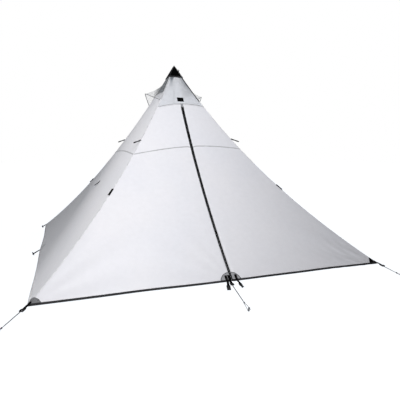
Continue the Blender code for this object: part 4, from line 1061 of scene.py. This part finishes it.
def make_cone():
    """The cone's cloth: rings that flare towards its foot, crumpled by a sine, closed at the tip."""
    height = np.linspace(CONE_NECK, CONE_BASE - 0.002, 26)
    height = np.concatenate([np.linspace(1.8985, 1.889, 6), height])[:, None]
    wave = np.sin(np.linspace(0, 12 * math.pi, 64, endpoint=False) + 40 * height)
    crumple = 0.0011 * wave * np.clip((1.88 - height) / 0.05, 0, 1)
    flare = CONE_FLARE * np.clip((CONE_NECK - height) / CONE_SLANT, 0, 1.03)
    grid = cone_ring(height, 16, 0.0006 + flare)
    grid = grid + unit(grid - UP * grid) * crumple[..., None]
    tip = np.broadcast_to([0, 0, PEAK - 0.0004], (1, 64, 3))
    cone = surface("cone_cloth", np.concatenate([tip, grid]), finish_named("cone_cloth"), wrap=True)
    return finished(thicken(cone, 0.0012), nodes=["peak_cone"])


def make_peak():
    """The cone over the peak: heavy black cloth, the binding round its foot, its seams, its loop."""
    cone = make_cone()
    height = CONE_BASE + np.array([0.011, 0.006, 0.0, -0.0035])[:, None]
    foot = cone_ring(height, 20, 0.0024 + CONE_FLARE)
    foot = thicken(surface("cone_binding", foot, finish_named("binding"), wrap=True), 0.0024)
    pieces = [finished(foot)]
    at = np.linspace(CONE_NECK, CONE_BASE, 40)
    lift = 0.0016 + 1.35 * CONE_FLARE * (CONE_NECK - at) / CONE_SLANT
    for name, side in CORNERS.items():
        path = np.stack([ridge_point(side, *row) for row in zip(at, lift)])
        across = np.cross(level(path[-1]), UP)
        seam = carried(f"{name}_cone_seam", path, across, flat_oval(0.007, 0.0016), "binding")
        pieces.append(finished(seam))
    base = ridge_point("right", 1.842, 0.001)
    out, across = level(base), np.cross(UP, level(base))
    turn = np.linspace(-1.9, 1.9, 15)[:, None]
    path = base + out * 0.0065 + 0.0075 * (np.cos(turn) * out + np.sin(turn) * UP)
    loop = carried("peak_loop", path, across, flat_oval(0.015, 0.0026), "webbing")
    pieces.append(finished(loop))
    declare_cloth(cone)


# Zip


def middle_line(height):
    """The places down the front's middle line, and the directions out of the cloth there."""
    return (np.stack(rows) for rows in zip(*(front_place(float(z))[::2] for z in height)))


def zip_tape(name, sign, height):
    """One side's tape: a section of reaches and lifts, its outer edge wider towards the top in a line."""
    place, normal = middle_line(height)
    up = (height - HEM) / (TOP_SEAM - HEM)
    reach = np.append(TAPE_REACHES, 0.0)[::sign] + 0 * height[:, None]
    reach[:, -1 if sign > 0 else 0] = TAPE_FOOT_EDGE + (TAPE_TOP_EDGE - TAPE_FOOT_EDGE) * up
    over = np.array(TAPE_LIFTS)[::sign, None]
    grid = place[:, None] + sign * reach[..., None] * ACROSS + over * normal[:, None]
    return thicken(surface(name, grid, finish_named("zip_tape")), 0.0012)


def make_zip():
    """Each side's woven tape and its coil, whose teeth are a sine along it, and the tape by the head."""
    for side, body in (("left", "canopy"), ("right", "door")):
        sign = -1 if side == "left" else 1
        height = np.linspace(COIL_TOPS[side], ZIP_FOOT, 160)
        foot = [ZIP_FOOT - 0.004, ZIP_FOOT - 0.008, HEM + 0.0004]
        tape = zip_tape(f"zip_tape_{side}", sign, np.append(height, foot))
        finished(tape, body, [f"zip_chain_{side}"])
        pitch = bpy.context.scene.shelter_sizes.tooth_pitch
        place, normal = middle_line(height)
        run = run_along(place)
        at = np.linspace(0, run[-1], int(run[-1] / pitch * 5))
        path, out = (np.stack([np.interp(at, run, row) for row in rows.T], -1) for rows in (place, normal))
        path = path + ACROSS * sign * COIL_REACH - unit(out) * 0.0003
        tooth = 0.5 + 0.5 * np.cos(math.tau * at / pitch)
        size = np.stack([0.00126 + 0.00046 * tooth, 0.0010 + 0.0005 * tooth], -1)
        coil = carried(f"zip_coil_{side}", path, ACROSS, circle(1.0, 8) * size[:, None], "zip_coil")
        finished(coil, body)
    head = zip_tape("zip_tape_head", 1, np.linspace(COIL_TOPS["left"], COIL_TOPS["right"] + 0.0008, 12))
    finished(head)
    for node in ("zip_slider", "zip_pull"):
        dress(node, "black_plastic")


def dress(node, finish):
    """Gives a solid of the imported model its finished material."""
    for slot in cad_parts[node].material_slots:
        slot.material = finish_named(finish)


# Webbing and cords


def place_along(start, ahead):
    """A place with its directions ahead, level across, and up."""
    across = unit(np.cross(UP, ahead))
    return start, ahead, across, np.cross(ahead, across)


def at_place(place, x, z):
    """A point so far ahead of a place's start and so far up from it."""
    start, ahead, _, up = place
    return start + x * ahead + z * up


def stake_places():
    """Each stake's foot on the ground, and the level direction it leans in."""
    ties = {name: ridge_point(side, HEM) for name, side in CORNERS.items()}
    ties.update({f"{side}_mid": on_side(side, 0.0, HEM) for side in SIDES})
    runs = {name: level(tie) * STAKE_REACH for name, tie in ties.items()} | GUY_RUNS
    return {name: (tie - UP * tie[2] + runs[name], unit(runs[name])) for name, tie in ties.items()}


def notch_of(place):
    """The notch that holds the cord, a little up a stake's lean from its foot."""
    foot, out = place
    return foot + (out * STAKE_LEAN + UP) * NOTCH_HEIGHT


def band(name, line, sides, width, offset):
    """Webbing along a smooth curve through points, each with its own direction across.

    It lies beside the line by half its thickness.
    """
    rows = smooth_line(np.concatenate([np.array(line), np.array(sides)], 1), STRAP_STEP)
    path, across = rows[:, :3], rows[:, 3:]
    ahead = unit(np.gradient(path, axis=0))
    path = path + unit(np.cross(ahead, across)) * offset * STRAP_THICK / 2
    return carried(name, path, across, flat_oval(width, STRAP_THICK), "webbing")


def hung_band(name, place, bar, thick, tail, tail_sides):
    """Webbing down the canopy, round the bar of a lock or a buckle, and back on itself."""
    rise, turn_at = thick / 2 + STRAP_GAP, bar + STRAP_GAP
    sewn = rise - STRAP_THICK - STRAP_GAP
    local = [
        (-turn_at, rise),
        (turn_at, rise),
        (turn_at, -rise),
        (-turn_at, -rise),
        (-3 * turn_at, sewn - 0.0008),
        (-4 * turn_at, sewn),
    ]
    line = list(tail) + [at_place(place, x, z) for x, z in local]
    sides = list(tail_sides) + [place[2]] * len(local)
    return band(name, line, sides, STRAP_WIDTH, 1.0)


def lock_places(places):
    """The three guyed ties: where the lock sits, and the webbing's way down to it."""
    found = {}
    for name in ("front_left", "front_right"):
        side = CORNERS[name]
        corner = ridge_point(side, HEM)
        ahead = unit(notch_of(places[name]) - corner)
        place = place_along(corner + ahead * LOCK_REACH, ahead)
        across = np.cross(UP, level(corner))
        turning = unit(across + np.cross(UP, ahead))
        tail = [ridge_point(side, HEM + rise, 0.0022) for rise in (0.019, 0.012, 0.0065)]
        found[name] = (place, [*tail, corner + UP * LOCK_THICK], [across] * 3 + [turning])
    start, slope, normal = front_place(HEM, -0.018)
    ahead = unit(notch_of(places["front_mid"]) - start)
    place = place_along(start + ahead * LOCK_REACH, ahead)
    turning = unit(ACROSS + np.cross(UP, ahead))
    tail = [start + slope * 0.05 + normal * 0.0018, start + slope * 0.02 + normal * 0.002]
    tail.append(start + normal * LOCK_THICK)
    found["front_mid"] = (place, tail, [ACROSS, ACROSS, turning])
    return found


def hem_loop(name, start, place):
    """A webbing loop from the hem round a stake: a half circle, with both ends together at the hem."""
    notch = notch_of(place)
    ahead = unit(notch - start)
    aside = unit(np.cross(UP, ahead))
    up = np.cross(ahead, aside)
    centre = notch - ahead * (HEM_LOOP_RADIUS - STAKE_RADIUS - 0.0009)
    neck = start + ahead * np.linalg.norm(centre - start) * 0.35
    bow, mouth = aside * HEM_LOOP_RADIUS * 0.45, aside * 0.0015
    first = start + ahead * STRAP_GAP
    turn = np.linspace(math.pi / 2, -math.pi / 2, 9)[:, None]
    arc = centre + (ahead * np.cos(turn) + aside * np.sin(turn)) * HEM_LOOP_RADIUS
    line = np.concatenate([[first + mouth, neck + bow], arc, [neck - bow, first - mouth]])
    return band(name, line, [up] * len(line), HEM_LOOP_WIDTH, -1.0)


def tab(name, points, nodes):
    """A tab sewn on at its top, whose free end stands off the cloth."""
    path = smooth_line(points, STRAP_STEP)
    across = np.cross(UP, level(points[0]))
    made = carried(name, path, across, flat_oval(TAB_WIDTH, TAB_THICK), "webbing")
    finished(made, nodes=nodes)


def buckle_strap(half, sign, length, body, node):
    """A buckle half's webbing: from the front's cloth, beside the zip's foot, down to its bar."""
    start, slope, normal = front_place(HEM, sign * BUCKLE_INSET)
    tip = start + BUCKLE_RUNS[half] + UP * (BUCKLE_TIP_RISE - start[2])
    ahead = unit(tip - start)
    place = place_along(tip - ahead * length, ahead)
    tail = [start + slope * rise + normal * 0.0018 for rise in (BUCKLE_TAIL, BUCKLE_TAIL / 2)]
    tail.append(start + normal * BUCKLE_THICK / 2)
    sides = [ACROSS, ACROSS, unit(ACROSS + np.cross(UP, ahead))]
    made = hung_band(f"{half}_strap", place, BUCKLE_BAR, BUCKLE_THICK, tail, sides)
    finished(made, body, [node])


def make_webbing():
    """All the webbing, in the places of its solids."""
    places = stake_places()
    for name, (place, tail, sides) in lock_places(places).items():
        strap = hung_band(f"{name}_strap", place, LOCK_BAR, LOCK_THICK, tail, sides)
        finished(strap, nodes=[f"{name}_webbing"])
    starts = {}
    for name in ("back_left", "back_right"):
        corner = ridge_point(CORNERS[name], HEM)
        starts[name] = corner - level(corner) * 0.0015 / math.sqrt(2)
    for side in ("left", "right", "back"):
        starts[f"{side}_mid"] = on_side(side, 0.0, HEM)
    for name, start in starts.items():
        loop = hem_loop(f"{name}_strap", start, places[name])
        finished(loop, nodes=[f"{name}_webbing"])
    share = np.array([0, 0.2, 0.4, 0.6, 0.8, 1])
    for name, side in CORNERS.items():
        points = [ridge_point(side, 0.7 - 0.044 * s, 0.0035 + 0.004 * s**2) for s in share]
        tab(f"{name}_tab", points, [f"{name}_ridge_tab"])
    for side in ("left", "right", "back"):
        points = [middle_point(side, 0.72 - 0.046 * s, 0.003 + 0.02 * s**2) for s in share]
        tab(f"{side}_tab", points, [] if side == "back" else [f"{side}_panel_tab"])
    buckle_strap("socket", -1, SOCKET_LENGTH, "canopy", "buckle_strap")
    buckle_strap("plug", 1, PLUG_LENGTH, "door", "door_strap")


def guy_route(place, stake):
    """A guyline's route: straight from the lock, then an eye round the stake and back to its knot."""
    start = at_place(place, LOCK_LENGTH + 0.0004, 0.0)
    notch = notch_of(stake)
    ahead = unit(notch - start)
    aside = unit(np.cross(UP, ahead))
    hold = NOTCH_RADIUS + CORD_RADIUS + 0.0008
    spread = hold * 1.25
    knot = notch - ahead * EYE_LENGTH
    straight = start + (knot - start) * np.array([0, 0.25, 0.5, 0.75, 1])[:, None]
    shoulder, taper, bend = ahead * 0.051, aside * spread * 0.7, ahead * hold * 0.8
    turn = np.linspace(math.pi / 2, -math.pi / 2, 5)[:, None]
    arc = notch + ahead * hold * np.cos(turn) + aside * spread * np.sin(turn)
    out = [notch - shoulder + taper, notch - bend + aside * spread]
    end = knot - aside * KNOT_REACH + ahead * CORD_RADIUS
    back = [notch - bend - aside * spread, notch - shoulder - taper, end]
    return np.concatenate([straight, out, arc, back]), knot, ahead


def knot_on(name, knot, ahead):
    """A knot: two and a half close turns of cord round the cord, a helix whose ends tuck in."""
    aside = unit(np.cross(UP, ahead))
    up = np.cross(ahead, aside)
    last = 5 * math.pi
    turn = np.linspace(0, last, 70)[:, None]
    away = KNOT_REACH * np.clip(np.minimum(turn, last - turn) / 0.9, 0.55, 1)
    path = knot - aside * 0.0012 + ahead * (turn / last * 0.008 - 0.004)
    path = path + away * (np.cos(turn) * aside + np.sin(turn) * up)
    return carried(name, path, ahead, circle(0.0018, 10), "dark_cord")


def make_guyline(name, place, stake):
    """A guyline with its knot, and the strand that lies beside it from the lock to the knot."""
    route, knot, ahead = guy_route(place, stake)
    path, section = smooth_line(route, CORD_STEP), circle(CORD_RADIUS)
    line = carried(f"{name}_guy", path, UP, section, "guy_cord")
    finished(line, nodes=[f"{name}_guyline"])
    tie = finished(knot_on(f"{name}_knot", knot, ahead))
    start, beside = path[0], unit(np.cross(UP, ahead)) * -0.0044
    middle = [start + beside * (1 - 0.45 * s) + (knot - start) * s for s in (0.3, 0.6, 0.9)]
    strand = smooth_line([start + beside, *middle, knot], CORD_STEP)
    strand = finished(carried(f"{name}_guy_strand", strand, UP, section, "guy_cord"))


def make_ridge_loop(name, side):
    """A cord loop that stands off a ridge, its webbing sleeve, and the plastic end on it."""
    rise = LOOP_RISE.get(name, 0.0)
    top, low = (ridge_point(side, z + rise, LOOP_RADIUS + 0.0004) for z in LOOP_HEIGHTS)
    hang = unit(ACROSS * np.sign(top[0]) + level(top) * 0.3 + unit(low - top) * 0.8)
    shares = ((0.45, 0.02), (0.9, 0.2), (1, 0.6), (0.9, 0.95), (0.45, 1))
    bow = [top + (low - top) * across + hang * LOOP_LENGTH * out for out, across in shares]
    path = smooth_line([top, *bow, low], 0.0017)
    plane = unit(np.cross(low - top, hang))
    loop = carried(f"{name}_loop", path, plane, circle(LOOP_RADIUS), "dark_cord")
    finished(loop, nodes=[f"{name}_ridge_loop"])
    across = np.cross(plane, hang)

    def along_loop(part, along, wide, flat, finish):
        line = (top + low) / 2 + hang * LOOP_LENGTH * along
        made = carried(f"{name}_loop_{part}", line, across, flat[None] * wide[..., None], finish)
        return finished(made)

    along = np.linspace(-0.02, 0.72, 30)[:, None]
    wide = 0.0125 + 0.0015 * np.sin(along * 9)
    sleeve = along_loop("sleeve", along, wide, flat_oval(1.0, 0.3, 4), "loop_sleeve")
    along = np.linspace(0.7, 1.12, 24)[:, None]
    wide = 0.0128 * np.sqrt(np.clip(1 - ((along - 0.91) / 0.22) ** 4, 0.02, 1))
    end = along_loop("end", along, wide, flat_oval(1.0, 0.5, 5), "black_plastic")


def make_cords():
    """The three guylines with their knots, and the four cord loops on the ridges."""
    places = stake_places()
    for name, (place, _, _) in lock_places(places).items():
        make_guyline(name, place, places[name])
    for name, side in CORNERS.items():
        make_ridge_loop(name, side)


def make_hardware():
    """Finishes for the hard pieces: pole, clamp, locks, buckle and stakes."""
    dress("pole_foot", "foot_rubber")
    for node in ("pole_lower", "pole_upper"):
        dress(node, "pole_alloy")
    for node in ("pole_clamp", "pole_lever", "peak_cup", "buckle_socket", "buckle_plug"):
        dress(node, "black_plastic")
    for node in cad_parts:
        if node.endswith("_stake"):
            dress(node, "stake_alloy")
        elif node.endswith("_lock"):
            dress(node, "black_plastic")


# Studio


def make_floor():
    """A pale floor that glows a little of itself, more so far away."""
    stage = bpy.context.scene.shelter_stage
    ground = Recipe("studio_floor", stage.floor, 0.9)
    ground.shader.inputs["Emission Color"].default_value = (1.0, 1.03, 1.07, 1)
    away = ground.put("ShaderNodeVectorMath", {0: ground.place()}, operation="LENGTH").outputs["Value"]
    glow = ground.spread(away, 1.5, 6.0, stage.floor_glow, 1.01)
    ground.tree.links.new(glow, ground.shader.inputs["Emission Strength"])
    ground.paint(ground.shades(ground.noise(0.6, 3), ((0.3, 0.985), (0.7, 1.01))))
    ground.relief(ground.noise(12, 3), 0.0004, 0.1)
    edge = np.linspace(-60, 60, 9)
    x, y = np.meshgrid(edge, -edge)
    surface("studio_floor", np.stack([x, y, 0 * x - 0.0005], -1), ground.material)


def make_world():
    """Dim cool surroundings, with white behind the shelter where the camera sees past it."""
    world = bpy.data.worlds.new("studio_world")
    world.use_nodes = True
    nodes, links = world.node_tree.nodes, world.node_tree.links
    around = nodes["Background"]
    around.inputs["Color"].default_value = (0.95, 1.0, 1.05, 1)
    around.inputs["Strength"].default_value = bpy.context.scene.shelter_stage.world_strength
    kinds = ("Background", "LightPath", "MixShader")
    backdrop, rays, either = (nodes.new(f"ShaderNode{kind}") for kind in kinds)
    backdrop.inputs["Color"].default_value = (1, 1, 1, 1)
    links.new(rays.outputs["Is Camera Ray"], either.inputs[0])
    links.new(around.outputs[0], either.inputs[1])
    links.new(backdrop.outputs[0], either.inputs[2])
    links.new(either.outputs[0], nodes["World Output"].inputs["Surface"])
    bpy.context.scene.world = world


def make_light(name, place, aim, size, power, colour):
    """A round soft light at a place, turned to what it is aimed at."""
    light = bpy.data.lights.new(name, "AREA")
    light.shape = "DISK"
    light.size = size
    light.energy = power
    light.color = colour
    lamp = bpy.data.objects.new(name, light)
    bpy.context.scene.collection.objects.link(lamp)
    lamp.visible_camera = False
    lamp.location = place
    lamp.rotation_euler = (Vector(aim) - Vector(place)).to_track_quat("-Z", "Y").to_euler()


def make_stage():
    """The floor, the surroundings, three soft lights, and the camera at the photograph's view."""
    stage = bpy.context.scene.shelter_stage
    make_floor()
    bpy.context.scene.view_settings.view_transform = "Standard"
    make_world()
    for name, (place, aim, size, colour) in LIGHTS.items():
        make_light(f"{name}_light", place, aim, size, getattr(stage, f"{name}_power"), colour)
    lens = bpy.data.cameras.new("photo_camera")
    lens.sensor_width = 36
    lens.lens = CAMERA_LENS
    lens.shift_x, lens.shift_y = CAMERA_SHIFT
    lens.clip_end = 200
    camera = bpy.data.objects.new("photo_camera", lens)
    bpy.context.scene.collection.objects.link(camera)
    camera.location = CAMERA_PLACE
    camera.rotation_euler = Euler([math.radians(turn) for turn in CAMERA_TURN])
    bpy.context.scene.camera = camera


# Settings, operators and panel


def length_setting(name, description, default):
    """A length in the sidebar."""
    facts = {"name": name, "description": description, "default": default}
    return FloatProperty(**facts, min=0, subtype="DISTANCE", unit="LENGTH")


def colour_setting(name, description, default):
    """A colour in the sidebar."""
    facts = {"name": name, "description": description, "default": default}
    return FloatVectorProperty(**facts, size=3, min=0, max=1, subtype="COLOR")


def share_setting(name, description, default):
    """A plain number in the sidebar."""
    facts = {"name": name, "description": description, "default": default}
    return FloatProperty(**facts, min=0, subtype="FACTOR")


def power_setting(name, description, default):
    """A light's power in the sidebar."""
    facts = {"name": name, "description": description, "default": default}
    return FloatProperty(**facts, min=0, subtype="POWER", unit="POWER")


class ShelterSizes(bpy.types.PropertyGroup):
    cloth_thickness: length_setting("Cloth thickness", "Wall of the canopy's cloth", 0.0006)
    crease_height: length_setting("Crease height", "How far the cloth's creases stand off", 0.0028)
    seam_width: length_setting("Seam width", "Width of the tape over the cross seams", 0.009)
    ridge_tape_width: length_setting("Ridge tape width", "Width of the tape on each side of a ridge", 0.006)
    binding_width: length_setting("Hem binding width", "How high the hem's binding stands", 0.0105)
    patch_size: length_setting("Corner patch size", "Length of a corner patch along the hem", 0.078)
    brim_width: length_setting("Brim width", "Width of the binding on the vent hoods' brims", 0.0066)
    tooth_pitch: length_setting("Zip tooth pitch", "Distance between the zip's teeth", 0.0025)


class ShelterColours(bpy.types.PropertyGroup):
    cloth: colour_setting("Cloth", "Colour of the canopy's cloth", (0.74, 0.742, 0.78))
    seam: colour_setting("Seams", "Colour of the tapes over the cross seams", (0.4, 0.405, 0.42))
    ridge: colour_setting("Ridges", "Colour of the ridge tapes and pale hems", (0.62, 0.625, 0.645))
    hood: colour_setting("Hoods", "Colour of the vent hoods", (0.52, 0.535, 0.555))
    top: colour_setting("Top cloth", "Colour of the thinner cloth under the cone", (0.74, 0.755, 0.79))
    patch: colour_setting("Corner patches", "Colour of the corner patches", (0.09, 0.093, 0.1))
    pale_patch: colour_setting("Pale patches", "Colour of round patches and garage", (0.33, 0.335, 0.35))
    # Dark as painted shadow along the right ridges, where the hoods meet them
    hood_seam: colour_setting("Hood seams", "Colour of the tapes on the right ridges", (0.008, 0.008, 0.009))
    binding: colour_setting("Binding", "Colour of the hem's binding", (0.02, 0.02, 0.022))
    brim: colour_setting("Brim", "Colour of the hoods' brims", (0.1, 0.102, 0.108))
    webbing: colour_setting("Webbing", "Colour of webbing, zip and cone", (0.0022, 0.0022, 0.0024))
    plastic: colour_setting("Plastic", "Colour of the moulded parts", (0.0035, 0.0035, 0.0037))
    net: colour_setting("Netting", "Colour of the vents' netting", (0.02, 0.021, 0.024))
    cord: colour_setting("Cord", "Colour of the guylines", (0.02, 0.021, 0.022))
    sleeve: colour_setting("Loop sleeves", "Colour of the ridge loops' webbing", (0.06, 0.061, 0.065))
    stake: colour_setting("Stakes", "Colour of the stakes", (0.12, 0.122, 0.13))
    pole: colour_setting("Pole", "Colour of the pole", (0.2, 0.21, 0.23))


class ShelterStage(bpy.types.PropertyGroup):
    floor: colour_setting("Floor", "Colour of the floor", (0.06, 0.06, 0.0605))
    floor_glow: share_setting("Floor glow", "How much the floor glows under the shelter", 0.96)
    world_strength: share_setting("Surroundings", "Brightness of the surroundings", 0.06)
    key_power: power_setting("Key light", "Power of the light in front", 161)
    side_power: power_setting("Side light", "Power of the light at the left", 46)
    back_power: power_setting("Back light", "Power of the light behind", 90)


class SHELTER_OT_stage(bpy.types.Operator):
    """Makes the floor, the lights and the camera."""

    bl_idname = "shelter.stage"
    bl_label = "Studio"

    def execute(self, context):
        make_stage()
        return {"FINISHED"}


class SHELTER_OT_cords(bpy.types.Operator):
    """Makes the guylines with their knots and the ridge loops."""

    bl_idname = "shelter.cords"
    bl_label = "Guylines and loops"

    def execute(self, context):
        make_cords()
        return {"FINISHED"}


class SHELTER_OT_canopy(bpy.types.Operator):
    """Makes the cloths of the canopy."""

    bl_idname = "shelter.canopy"
    bl_label = "Canopy cloth"

    def execute(self, context):
        make_canopy()
        return {"FINISHED"}


class SHELTER_OT_seams(bpy.types.Operator):
    """Makes the tapes over the seams."""

    bl_idname = "shelter.seams"
    bl_label = "Seam tapes"

    def execute(self, context):
        make_seams()
        return {"FINISHED"}


class SHELTER_OT_hem(bpy.types.Operator):
    """Makes the binding round the hem."""

    bl_idname = "shelter.hem"
    bl_label = "Hem binding"

    def execute(self, context):
        make_hem()
        return {"FINISHED"}


class SHELTER_OT_patches(bpy.types.Operator):
    """Makes the patches at the corners and the hem's middles."""

    bl_idname = "shelter.patches"
    bl_label = "Patches"

    def execute(self, context):
        make_patches()
        return {"FINISHED"}


class SHELTER_OT_label(bpy.types.Operator):
    """Makes the blank label and the zip's garage."""

    bl_idname = "shelter.label"
    bl_label = "Label and garage"

    def execute(self, context):
        make_label()
        return {"FINISHED"}


class SHELTER_OT_vents(bpy.types.Operator):
    """Makes the vents' netting, hoods and brims."""

    bl_idname = "shelter.vents"
    bl_label = "Vents"

    def execute(self, context):
        make_vents()
        return {"FINISHED"}


class SHELTER_OT_peak(bpy.types.Operator):
    """Makes the cone over the peak."""

    bl_idname = "shelter.peak"
    bl_label = "Peak cone"

    def execute(self, context):
        make_peak()
        return {"FINISHED"}


class SHELTER_OT_zip(bpy.types.Operator):
    """Makes the zip's tapes and coils and finishes its slider."""

    bl_idname = "shelter.zip"
    bl_label = "Zip"

    def execute(self, context):
        make_zip()
        return {"FINISHED"}


class SHELTER_OT_webbing(bpy.types.Operator):
    """Makes the straps, loops and tabs."""

    bl_idname = "shelter.webbing"
    bl_label = "Webbing"

    def execute(self, context):
        make_webbing()
        return {"FINISHED"}


class SHELTER_OT_hardware(bpy.types.Operator):
    """Finishes the pole, locks, buckle and stakes."""

    bl_idname = "shelter.hardware"
    bl_label = "Hard pieces"

    def execute(self, context):
        make_hardware()
        return {"FINISHED"}


OPERATORS = (
    SHELTER_OT_stage,
    SHELTER_OT_cords,
    SHELTER_OT_canopy,
    SHELTER_OT_seams,
    SHELTER_OT_hem,
    SHELTER_OT_patches,
    SHELTER_OT_label,
    SHELTER_OT_vents,
    SHELTER_OT_peak,
    SHELTER_OT_zip,
    SHELTER_OT_webbing,
    SHELTER_OT_hardware,
)


class SHELTER_PT_sidebar(bpy.types.Panel):
    """Lists the shelter's settings and makers."""

    bl_idname = "SHELTER_PT_sidebar"
    bl_label = "Pyramid shelter"
    bl_space_type = "VIEW_3D"
    bl_region_type = "UI"
    bl_category = "Shelter"

    def draw(self, context):
        for group in GROUPS:
            settings = getattr(context.scene, group)
            box = self.layout.box()
            for key in settings.__annotations__:
                box.prop(settings, key)
        for made in OPERATORS:
            self.layout.operator(made.bl_idname)


GROUPS = {
    "shelter_sizes": ShelterSizes,
    "shelter_colours": ShelterColours,
    "shelter_stage": ShelterStage,
}


def register():
    """Adds the settings, the operators and the panel to Blender."""
    for name, group in GROUPS.items():
        bpy.utils.register_class(group)
        setattr(bpy.types.Scene, name, PointerProperty(type=group))
    for made in [*OPERATORS, SHELTER_PT_sidebar]:
        bpy.utils.register_class(made)


def unregister():
    """Takes them out again, in the reverse order."""
    for made in [SHELTER_PT_sidebar, *reversed(OPERATORS)]:
        bpy.utils.unregister_class(made)
    for name, group in reversed(list(GROUPS.items())):
        delattr(bpy.types.Scene, name)
        bpy.utils.unregister_class(group)


def main():
    """Makes everything in order."""
    register()
    for made in OPERATORS:
        getattr(bpy.ops.shelter, made.bl_idname.split(".")[1])()


if __name__ == "__main__":
    main()
